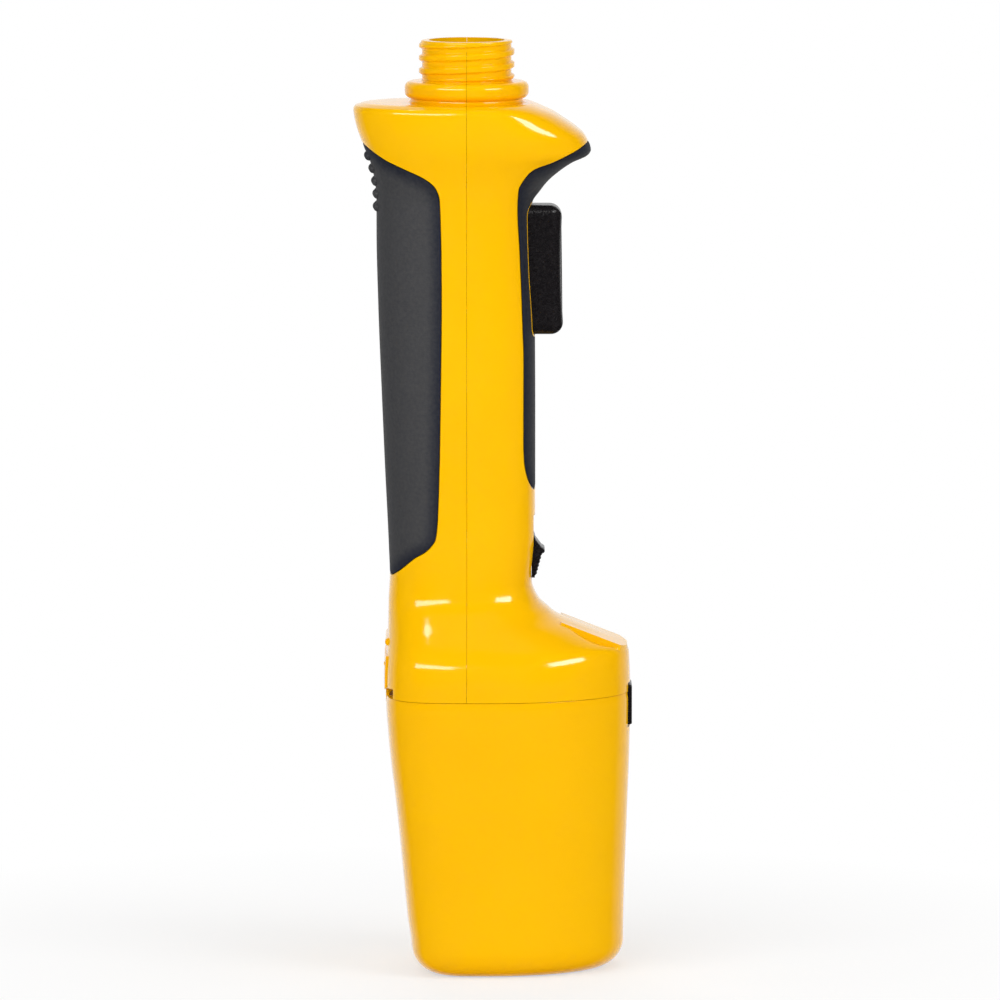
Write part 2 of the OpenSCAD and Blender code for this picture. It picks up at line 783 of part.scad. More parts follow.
module safety_slider() {
    color(black) {
        translate([track_x + touch, -safety_w / 2, safety_foot])
            cube([safety_plate_t, safety_w, safety_h]);
        difference() {
            translate([track_x + touch + safety_plate_t, 0, safety_foot])
                rotate([90, 0, 0])
                    linear_extrude(safety_w, center = true)
                        polygon([for (p = ridge_shares)
                            [p[1] * (safety_peak - safety_plate_t), p[0] * safety_h]]);
            for (i = [1:serrations])
                translate([track_x + touch + safety_plate_t
                        + (safety_peak - safety_plate_t) * i / (serrations + 1),
                    -safety_w, safety_foot
                        + blend(ridge_shares[0][0], ridge_shares[1][0], i / (serrations + 1)) * safety_h])
                    rotate([0, 45, 0])
                        translate([-serration_d, 0, -serration_d])
                            cube([2 * serration_d, 2 * safety_w, 2 * serration_d]);
        }
        translate([track_x + touch - stem_reach, -stem_half, stem_foot])
            cube([stem_reach + safety_plate_t / 2, 2 * stem_half, stem_h]);
    }
}

module safety_switch() {
    color(black)
        difference() {
            translate([safety_switch_back, -safety_switch_half, safety_switch_foot])
                cube([safety_switch_front - safety_switch_back, 2 * safety_switch_half,
                    safety_switch_top - safety_switch_foot]);
            translate([track_x - stem_reach - fit, -stem_half - fit, stem_foot - fit])
                cube([stem_reach + guard_front, 2 * (stem_half + fit), stem_h + safety_travel + 2 * fit]);
        }
}

// Transformer and other pieces on the board
core_rise = 9;
core_foot = board_foot + core_rise;
core_h = 28;
core_half = 10.5;
core_gap = 2;
core_t = 11.8;
leg_half = 3.5;
yoke_t = 4.5;
side_t = 3;
winding_t = 1.8;

module transformer_core() {
    color([0.3, 0.3, 0.32])
        difference() {
            translate([board_face + core_gap, -core_half, core_foot])
                cube([core_t, 2 * core_half, core_h]);
            for (s = [-1, 1])
                translate([board_face + core_gap - over,
                    s > 0 ? leg_half : -core_half + side_t, core_foot + yoke_t])
                    cube([core_t + 2 * over, core_half - side_t - leg_half, core_h - 2 * yoke_t]);
        }
}

module transformer_winding() {
    color(copper)
        difference() {
            translate([board_face + touch, -core_half + side_t + fit, core_foot + yoke_t + fit])
                cube([core_t + core_gap + winding_t, 2 * (core_half - side_t - fit),
                    core_h - 2 * (yoke_t + fit)]);
            translate([board_face + core_gap - touch, -leg_half - touch, core_foot])
                cube([core_t + 2 * touch, 2 * (leg_half + touch), core_h]);
        }
}

capacitor_r = 5.5;
capacitor_gap = 1.8;
capacitor_foot = core_foot + core_h + capacitor_gap;
capacitor_top = trigger_mid - switch_h / 2 - capacitor_gap;
capacitor_rim = 1;

module storage_capacitor() {
    color([0.15, 0.25, 0.5])
        translate([board_face + touch + capacitor_r, 0, capacitor_foot])
            difference() {
                cylinder(capacitor_top - capacitor_foot, r = capacitor_r, $fn = 48);
                translate([0, 0, capacitor_top - capacitor_foot - capacitor_rim])
                    difference() {
                        cylinder(2 * capacitor_rim, r = capacitor_r - capacitor_rim, $fn = 48);
                        cylinder(capacitor_rim / 2, r = capacitor_r, $fn = 48);
                    }
            }
}

transistor_t = 4.5;
transistor_half = 5;
transistor_h = 9;
tab_t = 1.3;
tab_h = 6;
tab_hole_r = 1.8;

module power_transistor() {
    color(black)
        translate([board_x - touch, 0, core_foot + core_h / 2])
            difference() {
                union() {
                    translate([-transistor_t, -transistor_half, -transistor_h])
                        cube([transistor_t, 2 * transistor_half, transistor_h]);
                    translate([-tab_t, -transistor_half, -over])
                        cube([tab_t, 2 * transistor_half, tab_h + over]);
                }
                translate([-tab_t - over, 0, tab_h / 2])
                    rotate([0, 90, 0])
                        cylinder(tab_t + 2 * over, r = tab_hole_r, $fn = 32);
            }
}

// Case: hinge, seam and latch places
hinge_x = -case_back + knuckle_r + touch;
hinge_half = 11.5;
hinge_middle_half = 6.2;
knuckle_gap_half = (hinge_half - hinge_middle_half + fit) / 2;
hinge_relief = 0.8;
hinge_relief_half = 22;
latch_proud = 0.4;
latch_x = case_front + latch_proud;
latch_t = 2.4;
latch_drop = 9.2;
latch_foot = case_h - latch_drop;
latch_pin_r = 0.8;
latch_pin_inset = 3;
latch_pin_share = 0.4;
latch_pin_x = latch_x - latch_pin_inset;
latch_pin_z = latch_foot + latch_pin_share * latch_h;
latch_hub_r = 1.7;
latch_cheek = 2.7;
latch_swing = 0.4;
latch_pin_half = latch_w / 2 + fit + latch_cheek / 2 - touch;
latch_back = 2.2;
latch_block_drop = 2.4;
latch_block_skirt = 3;
latch_block_top = case_h - latch_block_drop;
latch_block_foot = latch_foot - latch_block_skirt;
latch_block_x = latch_pin_x - latch_hub_r - fit - latch_back;
gasket_w = 3;
gasket_h = 2.5;
gasket_rise = 0.7;
gasket_top = case_h + gasket_rise;
gasket_inset = max(case_wall + fit, wall + touch);
plate_inset = gasket_inset + gasket_w;
ledge_w = 9;
ledge_t = 2.2;

module across(x, z, half, r, fn = 48) {
    translate([x, half, z])
        rotate([90, 0, 0])
            cylinder(2 * half, r = r, $fn = fn);
}

module hinge_pin() {
    color(steel)
        across(hinge_x, case_h, hinge_half - fit, hinge_pin_r);
}

module shell_knuckles() {
    for (s = [-1, 1])
        translate([0, s * (hinge_half + hinge_middle_half + fit) / 2, 0]) {
            across(hinge_x, case_h, (hinge_half - hinge_middle_half - fit) / 2, knuckle_r, mesh_fn);
            translate([hinge_x - knuckle_r, -(hinge_half - hinge_middle_half - fit) / 2, case_h])
                cube([2 * knuckle_r, hinge_half - hinge_middle_half - fit, knuckle_r + hinge_relief + over]);
        }
}

// Pocket in the front shell for the latch's upper end
module latch_keep() {
    translate([latch_x - latch_t - fit, -latch_w / 2 - fit, case_h - over])
        cube([guard_front, latch_w + 2 * fit, latch_foot + latch_h - case_h + over + 2 * fit]);
}

// Raised panels: on the sloping front shoulder, and over the hinge at the back
pad_d = 0.3;
pad_back_share = 0.575;
pad_front_share = 0.98;
pad_back_height_share = 0.65;
pad_front_height_share = 0.415;
pad_half = 11;
pad_inset = 0.6;
panel_d = 0.5;
panel_half = 14;
panel_h = 10;
rib_r = 1.1;
rib_half = 11;
rib_height_shares = [0.28, 0.48];

module shoulder_pad() {
    pad_foot = case_h + pad_front_height_share * shoulder_h - wall;
    intersection() {
        rotate([90, 0, 0])
            linear_extrude(2 * pad_half, center = true)
                polygon([
                    [case_front * pad_back_share, pad_foot],
                    [case_front * pad_front_share, pad_foot],
                    [case_front * pad_front_share, case_h + pad_front_height_share * shoulder_h + pad_d],
                    [case_front * pad_back_share, case_h + pad_back_height_share * shoulder_h + pad_d]
                ]);
        translate([0, 0, case_h])
            linear_extrude(shoulder_h)
                polygon([for (p = section(case_h, pad_inset)) [p[0], p[1]]]);
    }
}

module back_panel() {
    intersection() {
        skin([for (z = handle_levels) if (z <= z_grip) section(z, -panel_d)]);
        translate([-case_back - over, -panel_half, case_h + 2 * hinge_relief])
            cube([case_back / 2, 2 * panel_half, panel_h - hinge_relief]);
    }
    for (s = rib_height_shares) {
        z = case_h + s * shoulder_h;
        across(back_x(z, 0, 0) + rib_r / 2, z, rib_half, rib_r, mesh_fn);
    }
}

// Ledge inside the foot of the shells, and bosses for the contact plate's screws
plate_screw_r = 1.1;
plate_screw_head_r = 2.2;
plate_screw_head_h = 1.4;
plate_screw_reach = 5.5;
plate_boss_r = 3;
plate_boss_h = 7;
plate_screw_y_share = 0.49;
plate_screw_y = plate_screw_y_share * case_half;
plate_foot = gasket_top - gasket_h;
plate_screw_back = back_x(plate_foot, plate_screw_y + plate_screw_head_r, plate_inset + touch)
    + plate_screw_head_r + fit;
plate_screw_front = min(front_x(plate_foot, plate_screw_head_r, plate_inset + touch), latch_block_x)
    - plate_screw_head_r - fit;
plate_screw_places = [
    [plate_screw_back, plate_screw_y],
    [plate_screw_back, -plate_screw_y],
    [plate_screw_front, 0]
];

module ledge() {
    difference() {
        skin([for (z = [gasket_top + touch, gasket_top + touch + ledge_t]) section(z, wall / 2)]);
        skin([for (z = [gasket_top - over, gasket_top + ledge_t + over]) section(z, wall + ledge_w)]);
    }
    for (p = plate_screw_places)
        translate([p[0], p[1], gasket_top + touch])
            cylinder(plate_boss_h, r = plate_boss_r, $fn = mesh_fn);
}

module plate_holes(r, z0) {
    for (p = plate_screw_places)
        translate([p[0], p[1], z0])
            cylinder(plate_screw_reach + gasket_h + 2 * over, r = r, $fn = 32);
}

module half_space(front) {
    translate([front ? 0 : -2 * case_front, -2 * case_half, 0])
        cube([2 * case_front, 4 * case_half, 2 * z_rim]);
}

module shell(front) {
    intersection() {
        half_space(front);
        difference() {
            union() {
                difference() {
                    union() {
                        handle_skin(0);
                        neck_solid();
                        if (front)
                            shoulder_pad();
                        else
                            back_panel();
                    }
                    difference() {
                        cavity();
                        shelf();
                        ledge();
                        screw_bosses(front);
                        board_bosses();
                    }
                    difference() {
                        if (front)
                            finger_zone();
                        else
                            palm_zone();
                        handle_skin(rubber_t);
                    }
                    if (!front)
                        across(hinge_x, case_h, hinge_relief_half, knuckle_r + hinge_relief, mesh_fn);
                }
                if (!front)
                    shell_knuckles();
            }
            translate([0, 0, roof - over])
                cylinder(z_rim, r = neck_bore_r, $fn = neck_fn);
            screw_holes();
            board_holes();
            plate_holes(plate_screw_r + hole_fit, gasket_top - over);
            across(hinge_x, case_h, hinge_half + over, hinge_pin_r + slide_fit, mesh_fn);
            if (front) {
                trigger_window(fit);
                safety_track();
                latch_keep();
            }
        }
    }
}

module front_shell() {
    color(yellow)
        moulded()
            shell(true);
}

module back_shell() {
    color(yellow)
        moulded()
            shell(false);
}

// Battery case
case_levels = concat(
    levels(0, foot_r, foot_level_shares),
    levels(0, case_h, case_level_shares),
    [case_h]
);
case_cavity_levels = concat(
    levels(case_floor, foot_r - case_wall, foot_level_shares),
    levels(0, case_h, case_level_shares),
    [case_h + over]
);

module case_block() {
    intersection() {
        translate([latch_block_x, -latch_w / 2 - fit - latch_cheek, latch_block_foot])
            cube([case_front, latch_w + 2 * (fit + latch_cheek), latch_block_top - latch_block_foot]);
        skin([for (z = case_levels) section(z, case_wall / 2, foot_in(z, foot_r))]);
    }
}

module battery_case() {
    color(yellow)
        moulded()
            difference() {
                union() {
                    difference() {
                        skin([for (z = case_levels) section(z, 0, foot_in(z, foot_r))]);
                        skin([for (z = case_cavity_levels)
                            section(z, case_wall, foot_in(z - case_floor, foot_r - case_wall))]);
                    }
                    case_block();
                    across(hinge_x, case_h, hinge_middle_half, knuckle_r, mesh_fn);
                    translate([hinge_x - knuckle_r, -hinge_middle_half, case_h - 2 * knuckle_r])
                        cube([2 * knuckle_r, 2 * hinge_middle_half, 2 * knuckle_r]);
                }
                across(hinge_x, case_h, hinge_half + over, hinge_pin_r + slide_fit, mesh_fn);
                for (s = [-1, 1])
                    translate([0, s * (hinge_half + hinge_middle_half + fit) / 2, 0])
                        across(hinge_x, case_h, knuckle_gap_half, knuckle_r + hinge_relief, mesh_fn);
                translate([latch_block_x + latch_back, -latch_w / 2 - fit, latch_foot - fit - latch_swing])
                    cube([case_front, latch_w + 2 * fit, case_h]);
                across(latch_pin_x, latch_pin_z, latch_pin_half + touch, latch_pin_r + hole_fit, mesh_fn);
            }
}

// Latch: rocking plate on a pin, tooth at its upper end
tooth_d = 0.2;
tooth_h = 1.4;

module latch() {
    color(black)
        difference() {
            union() {
                translate([latch_x - latch_t, -latch_w / 2, latch_foot])
                    cube([latch_t, latch_w, latch_h]);
                across(latch_pin_x, latch_pin_z, latch_w / 2, latch_hub_r);
                translate([latch_pin_x, -latch_w / 2, latch_pin_z - latch_hub_r])
                    cube([latch_x - latch_pin_x - latch_t / 2, latch_w, 2 * latch_hub_r]);
                translate([latch_x - latch_t - tooth_d, -latch_w / 2, latch_foot + latch_h - tooth_h])
                    cube([tooth_d + over, latch_w, tooth_h]);
            }
            across(latch_pin_x, latch_pin_z, latch_w, latch_pin_r + slide_fit);
        }
}

module latch_pin() {
    color(steel)
        across(latch_pin_x, latch_pin_z, latch_pin_half, latch_pin_r);
}

latch_wire = 0.22;
latch_spring_r = 1.1;
latch_spring_turns = 2;

module latch_spring() {
    color(steel)
        translate([latch_block_x + latch_back + touch, 0, latch_foot + latch_spring_r + latch_wire + touch])
            rotate([0, 90, 0])
                coil(latch_spring_r, latch_wire,
                    latch_x - latch_t - latch_block_x - latch_back - 2 * touch, latch_spring_turns);
}

// Contact plate across the foot of the handle, with its gasket and studs
module case_gasket() {
    color(rubber)
        moulded()
            difference() {
                skin([for (z = [plate_foot, gasket_top]) section(z, gasket_inset)]);
                skin([for (z = [plate_foot - over, gasket_top + over]) section(z, plate_inset)]);
                translate([hinge_x - knuckle_r - fit, -hinge_half - fit, plate_foot - over])
                    cube([2 * (knuckle_r + fit), 2 * (hinge_half + fit), gasket_h + 2 * over]);
            }
}

module contact_plate() {
    color(ivory)
        difference() {
            moulded()
                skin([for (z = [plate_foot, gasket_top]) section(z, plate_inset + touch)]);
            plate_holes(plate_screw_r + slide_fit, plate_foot - over);
        }
}

module plate_screws() {
    color(steel)
        for (p = plate_screw_places)
            translate([p[0], p[1], plate_foot - plate_screw_head_h]) {
                cylinder(plate_screw_head_h, r = plate_screw_head_r, $fn = 32);
                cylinder(plate_screw_head_h + gasket_h + plate_screw_reach, r = plate_screw_r, $fn = 32);
            }
}

// Three cells, two at the back and one at the front
cell_gap = 0.4;
cell_margin = 0.6;
cell_latch_gap = 1.4;
cell_depth = latch_block_x - cell_latch_gap + foot_back - case_wall - cell_margin;
cell_d = min(foot_half - case_wall - cell_room, (cell_depth - cell_gap * cos(30)) / (1 + cos(30)));
stud_h = 3;
cell_x = -foot_back + case_wall + cell_d / 2 + cell_margin;
cell_top = plate_foot - stud_h;
cell_spring_h = 8;
cell_foot = cradle_h + cell_spring_h;
cell_h = cell_top - cell_foot;
cell_pitch = cell_d + cell_gap;
cell_places = [[cell_x, -cell_pitch / 2], [cell_x, cell_pitch / 2], [cell_x + cell_pitch * cos(30), 0]];
cell_nub_r = 3.3;
cell_nub_h = 1.8;
cell_crimp = 0.5;
stud_r = 3;

module cell(i) {
    color(steel)
        translate([cell_places[i][0], cell_places[i][1], cell_foot]) {
            cylinder(cell_h, r = cell_nub_r, $fn = 32);
            difference() {
                cylinder(cell_h - cell_nub_h, r = cell_d / 2, $fn = 64);
                for (z = [2 * cell_crimp, cell_h - cell_nub_h - 3 * cell_crimp])
                    translate([0, 0, z])
                        difference() {
                            cylinder(cell_crimp, r = cell_d, $fn = 64);
                            translate([0, 0, -over])
                                cylinder(2 * over + cell_crimp, r = cell_d / 2 - cell_crimp, $fn = 64);
                        }
            }
        }
}

module battery_cell_1() {
    cell(0);
}

module battery_cell_2() {
    cell(1);
}

module battery_cell_3() {
    cell(2);
}

module contact_studs() {
    color(brass)
        for (p = cell_places)
            translate([p[0], p[1], cell_top + touch])
                cylinder(stud_h - touch, r = stud_r, $fn = 32);
}

// Cradle that carries the cells' springs above the foot
cradle_t = 2.5;
cradle_leg_r = 6;
cradle_leg_share = 0.85;
strap_t = 0.6;
strap_r = 7;
cell_wire = 0.5;
cell_spring_r = 5;
cell_spring_turns = 3;

module cell_cradle() {
    color(black) {
        moulded()
            skin([for (z = [cradle_h - cradle_t, cradle_h]) section(z, case_wall + fit)]);
        for (p = cell_places)
            translate([p[0], p[1] * cradle_leg_share, case_floor])
                cylinder(cradle_h - cradle_t / 2 - case_floor, r = cradle_leg_r, $fn = 32);
    }
}

module cell_straps() {
    color(brass)
        translate([0, 0, cradle_h])
            for (p = cell_places)
                translate([p[0], p[1], 0])
                    cylinder(strap_t, r = strap_r, $fn = 48);
}

module cell_spring(i) {
    color(steel)
        translate([cell_places[i][0], cell_places[i][1], cradle_h + strap_t])
            coil(cell_spring_r, cell_wire, cell_spring_h - strap_t, cell_spring_turns);
}

module cell_spring_1() {
    cell_spring(0);
}

module cell_spring_2() {
    cell_spring(1);
}

module cell_spring_3() {
    cell_spring(2);
}

// Leads held inside the handle. Each row of a route has three shares: of the way along X, of the lead's
// distance off the middle, and of the way along Z.
lead_r = 0.8;
lead_sides = 8;
lead_y = 3;
battery_lead_shares = [[0, 1, 0], [0, 1, 0.15], [0, 1, 0.35], [0.37, 0.9, 0.6], [0.89, 0.7, 0.82],
    [1, 0.6, 0.93], [1, 0.6, 1]];
safety_lead_shares = [[0, 1, 0], [0.2, 1, 0], [0.5, 1.1, 0], [0.8, 1.3, 0.1], [0.95, 1.4, 0.35],
    [1, 1.5, 0.7], [1, 1.5, 1]];
output_lead_shares = [[0, 1, 0], [0, 1, 0.2], [0.1, 1, 0.4], [0.6, 1, 0.62], [1, 1, 0.85], [1, 1, 1]];

module lead_pair(x0, x1, y, z0, z1, shares) {
    for (s = [-1, 1])
        tube([for (p = shares) [blend(x0, x1, p[0]), s * y * p[1], blend(z0, z1, p[2])]],
            lead_r, lead_sides, [0, 1, 0]);
}

module battery_leads() {
    color([0.6, 0.1, 0.1])
        lead_pair(0, board_x + board_t / 2, lead_y, gasket_top, board_foot, battery_lead_shares);
}

module safety_leads() {
    color([0.15, 0.15, 0.15])
        lead_pair(safety_switch_back, board_x + board_t / 2, lead_y,
            (safety_switch_foot + safety_switch_top) / 2, board_foot, safety_lead_shares);
}

module output_leads() {
    color([0.7, 0.68, 0.62])
        lead_pair(board_x + board_t / 2, 0, contact_y,
            board_top, socket_stem_foot - cap_t, output_lead_shares);
}

front_shell();
back_shell();
palm_grip();
finger_grip();
shell_screws();
trigger();
switch_plunger();
trigger_spring();
trigger_switch();
safety_slider();
safety_switch();
circuit_board();
board_screws();
transformer_core();
transformer_winding();
storage_capacitor();
power_transistor();
socket_insert();
socket_cap();
output_contact_1();
output_contact_2();
output_spring_1();
output_spring_2();
contact_plate();
contact_studs();
plate_screws();
case_gasket();
battery_case();
hinge_pin();
latch();
latch_pin();
latch_spring();
cell_cradle();
cell_straps();
cell_spring_1();
cell_spring_2();
cell_spring_3();
battery_cell_1();
battery_cell_2();
battery_cell_3();
battery_leads();
safety_leads();
output_leads();
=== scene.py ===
"""Looks of the livestock prod handle: fine mouldings, rubber, black fittings, light and camera.

Lengths are in millimetres until a mesh is made. The frame is the CAD's: +Z up, +X the trigger side.
"""
import json
import math
from contextlib import contextmanager

import bmesh
import bpy
import numpy as np
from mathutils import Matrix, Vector


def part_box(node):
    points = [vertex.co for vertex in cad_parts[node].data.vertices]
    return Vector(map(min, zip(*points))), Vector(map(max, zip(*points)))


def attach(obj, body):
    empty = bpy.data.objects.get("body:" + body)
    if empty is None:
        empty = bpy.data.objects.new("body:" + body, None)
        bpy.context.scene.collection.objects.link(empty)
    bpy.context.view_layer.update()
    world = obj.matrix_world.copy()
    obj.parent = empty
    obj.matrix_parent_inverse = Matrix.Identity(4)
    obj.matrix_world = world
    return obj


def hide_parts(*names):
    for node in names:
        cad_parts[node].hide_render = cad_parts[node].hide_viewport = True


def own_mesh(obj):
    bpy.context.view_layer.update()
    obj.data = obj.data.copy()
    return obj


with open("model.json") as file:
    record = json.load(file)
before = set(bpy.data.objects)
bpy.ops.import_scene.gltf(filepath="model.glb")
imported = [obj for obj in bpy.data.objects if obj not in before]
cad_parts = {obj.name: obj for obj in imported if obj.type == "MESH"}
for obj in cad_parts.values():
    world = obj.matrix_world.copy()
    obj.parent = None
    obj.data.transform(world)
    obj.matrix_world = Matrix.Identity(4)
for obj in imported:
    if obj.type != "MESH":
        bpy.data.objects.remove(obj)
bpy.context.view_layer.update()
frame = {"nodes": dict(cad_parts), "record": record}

MM = 0.001


def node_box(node):
    """Lowest and highest corner of a CAD node, in millimetres."""
    low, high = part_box(node)
    return np.array(low) / MM, np.array(high) / MM


# Levels of the handle
SEAM = node_box("front_shell")[0][2]
RIM = node_box("front_shell")[1][2]
SHOULDER_H = 30.0
GRIP_H = 105.0
GUARD_H = 26.8
COVE_H = 1.4
FLANGE_H = 4.6
Z_GRIP = SEAM + SHOULDER_H
Z_GUARD = Z_GRIP + GRIP_H
Z_TOP = Z_GUARD + GUARD_H
Z_FLANGE = Z_TOP + COVE_H
Z_NECK = Z_FLANGE + FLANGE_H

# Reaches of the outline: front, back and half the depth
CASE = {"front": 45.0, "back": 22.3, "half": 30.5}
FOOT = {"front": 43.2, "back": 15.4, "half": 29.3}
GRIP = {"front": 18.8, "back": 24.75, "half": 17.5}
GUARD = {"front": 34.0, "back": 31.1, "half": 22.3}
FOOT_R = 7.5
WALL = 3.0
RUBBER_T = 1.5
CASE_WALL = 2.2
CASE_FLOOR = 3.0

# Roundness of the sections, and where each section is widest
CASE_BACK_POWER = 4.0
CASE_FRONT_POWER = 2.1
GRIP_POWER = 2.5
GUARD_POWER = 2.25
GUARD_FRONT_POWER = 2.9
CASE_WIDE = 0.12 * CASE["front"]
GRIP_WIDE = -0.16 * GRIP["front"]

# Neck
NECK_R = 12.25
BORE_R = 10.4
FLANGE_R = 17.0
THREAD_D = 0.85
THREAD_PITCH = 3.5
THREAD_START_SHARE = 0.3

# Fine gaps that show as dark lines
PARTING_GAP = 0.03
SEAM_GAP = 0.12
RUBBER_GAP = 0.2
FIT = 0.3

# Side outlines: share of the zone's height, then share of the way from one reach to the next.
# The rubbers' edges count height from the grip's foot up to 1, then on through the guard. Their second value
# is a share of the grip's reach.
CASE_FRONT_SHARES = [(0, 0), (0.12, 0), (0.35, 0.22), (0.49, 0.44), (0.64, 0.67), (0.79, 0.89), (1, 1)]
CASE_BACK_SHARES = [(0, 0), (0.08, 0), (0.2, 0.16), (0.35, 0.32), (0.5, 0.48), (0.64, 0.65), (0.75, 0.8),
                    (0.85, 0.91), (0.96, 0.99), (1, 1)]
SHOULDER_FRONT_SHARES = [(0.2, 0.005), (0.36, 0.015), (0.42, 0.045), (0.47, 0.16), (0.52, 0.3), (0.57, 0.43),
                         (0.62, 0.565), (0.67, 0.7), (0.71, 0.775), (0.76, 0.835), (0.82, 0.91), (0.89, 0.96),
                         (1, 1)]
SHOULDER_BACK_SHARES = [(0.17, 0), (0.63, 0.6), (0.83, 0.7), (1, 1)]
SHOULDER_HALF_SHARES = [(0.17, 0), (0.3, 0.04), (0.43, 0.18), (0.57, 0.42), (0.7, 0.68), (0.8, 0.855),
                        (0.9, 0.95), (1, 0.985)]
GRIP_FRONT_SHARES = [(0, 0.952), (0.12, 1), (0.45, 1), (0.65, 0.995), (0.83, 0.94), (0.96, 0.92), (1, 0.965)]
GRIP_BACK_SHARES = [(0, 0.861), (0.02, 0.857), (0.09, 0.867), (0.3, 0.909), (0.5, 0.945), (0.73, 0.982),
                    (0.92, 1), (1, 1)]
GUARD_FRONT_SHARES = [(0.1, 0.08), (0.2, 0.22), (0.3, 0.42), (0.4, 0.68), (0.475, 0.955), (0.52, 1),
                      (0.565, 0.985), (0.6, 0.96), (0.68, 0.885), (0.75, 0.75), (0.82, 0.575), (0.91, 0.32),
                      (1, -0.05)]
GUARD_BACK_SHARES = [(0.15, 0.04), (0.3, 0.15), (0.43, 0.31), (0.53, 0.5), (0.62, 0.65), (0.76, 0.86),
                     (0.88, 0.97), (0.945, 1), (0.98, 0.9), (1, 0.62)]
GUARD_HALF_SHARES = [(0.15, 0.1), (0.3, 0.31), (0.45, 0.62), (0.6, 0.87), (0.75, 0.97), (0.92, 1),
                     (0.975, 0.88), (0.993, 0.65), (1, 0.5)]
PALM_EDGE_SHARES = [(-0.03, 1.2), (0.023, 0.84), (0.041, 0.745), (0.075, 0.585), (0.1, 0.43), (0.13, 0.345),
                    (0.2, 0.32), (0.52, 0.29), (0.75, 0.28), (1.04, 0.3), (1.17, 0.345), (1.262, 0.46),
                    (1.357, 0.68), (1.448, 0.9), (1.66, 1.25)]
FINGER_EDGE_SHARES = [(0.245, 1.2), (0.247, 0.98), (0.263, 0.93), (0.284, 0.884), (0.307, 0.855),
                      (0.335, 0.838), (0.37, 0.832), (0.59, 0.834), (0.67, 0.82), (0.87, 0.777),
                      (0.985, 0.745), (1.137, 0.76), (1.247, 0.835), (1.353, 0.98), (1.392, 1.12),
                      (1.418, 1.229), (1.48, 1.42), (1.545, 1.606), (1.6, 1.74), (1.625, 1.8), (1.66, 2.2)]

# Fineness of the meshes
COLUMNS = 288
ROW_STEP = 0.6
RUBBER_ROW_STEP = 0.5
CAVITY_ROW_STEP = 4.0
THREAD_ROW_STEP = 0.12
EDGE_COUNT = 240
CIRCLE_COUNT = 64
CORNER_STEPS = 8
ARC_STEPS = 8
TRIGGER_STEPS = 12
TRIGGER_FACE_STEPS = 10
FOOT_STEPS = 24
DIP_STEPS = 33

# How far tools run past what they cut, and how far pins stand off their holes
OVERRUN = 1.0
PIN_FIT = 0.05
FAR = 1e9

# Angles in degrees above which shading keeps an edge sharp
SHARP = 30
SHARP_SOFT = 40
SHARP_COIL = 60
SHARP_SLIDER = 25
SHARP_LATCH = 35
BEVEL_FROM = 35


def smooth(points):
    """Smooth curve through points (place, value) that never overshoots, as a function of arrays."""
    place, value = np.array(points, float).T
    step = np.diff(place)
    slope = np.diff(value) / step
    tangent = np.concatenate([slope[:1], np.zeros(len(slope) - 1), slope[-1:]])
    before, after = 2 * step[1:] + step[:-1], step[1:] + 2 * step[:-1]
    for i in np.flatnonzero(slope[1:] * slope[:-1] > 0):
        tangent[i + 1] = (before[i] + after[i]) / (before[i] / slope[i] + after[i] / slope[i + 1])

    def curve(at):
        i = np.clip(np.searchsorted(place, at) - 1, 0, len(step) - 1)
        t = np.clip((at - place[i]) / step[i], 0, 1)
        return ((1 + 2 * t) * (1 - t) ** 2 * value[i] + t * (1 - t) ** 2 * step[i] * tangent[i]
                + t ** 2 * (3 - 2 * t) * value[i + 1] + t ** 2 * (t - 1) * step[i] * tangent[i + 1])

    return curve


def zone(foot, height, shares, start, end):
    """Points of an outline over one zone of the handle."""
    return [(foot + height * s, start + (end - start) * v) for s, v in shares]


def side_line(side, case, shoulder, grip, guard):
    """Outline of the front or the back over the whole height."""
    return smooth(
        zone(0, SEAM, case, FOOT[side], CASE[side])
        + zone(SEAM, SHOULDER_H, shoulder, CASE[side], GRIP[side] * grip[0][1])
        + zone(Z_GRIP, GRIP_H, grip[1:], 0, GRIP[side])
        + zone(Z_GUARD, GUARD_H, guard, GRIP[side], GUARD[side]))


def zone_line(case, grip, top):
    """Value that is steady over the case and the grip and changes between them and up to the top."""
    return smooth([(0, case), (SEAM, case), (Z_GRIP, grip), (Z_GUARD, grip), (Z_TOP, top)])


GRIP_SETTLED_SHARE = 0.05
front_line = side_line("front", CASE_FRONT_SHARES, SHOULDER_FRONT_SHARES,
                       GRIP_FRONT_SHARES, GUARD_FRONT_SHARES)
back_line = side_line("back", CASE_BACK_SHARES, SHOULDER_BACK_SHARES,
                      GRIP_BACK_SHARES, GUARD_BACK_SHARES)
half_line = smooth(
    [(0, FOOT["half"]), (SEAM, CASE["half"])]
    + zone(SEAM, SHOULDER_H, SHOULDER_HALF_SHARES, CASE["half"], GRIP["half"])
    + [(Z_GRIP + GRIP_SETTLED_SHARE * GRIP_H, GRIP["half"]), (Z_GUARD, GRIP["half"])]
    + zone(Z_GUARD, GUARD_H, GUARD_HALF_SHARES, GRIP["half"], GUARD["half"]))
wide_line = zone_line(CASE_WIDE, GRIP_WIDE, 0)
front_power = zone_line(CASE_FRONT_POWER, GRIP_POWER, GUARD_FRONT_POWER)
back_power = zone_line(CASE_BACK_POWER, GRIP_POWER, GUARD_POWER)


def reach(line, z, inset):
    """Reach at a height, taken in by an inset, or let out where it is negative."""
    near = np.stack([line(z - abs(inset)), line(z), line(z + abs(inset))])
    return (near.min(0) if inset > 0 else near.max(0)) - inset


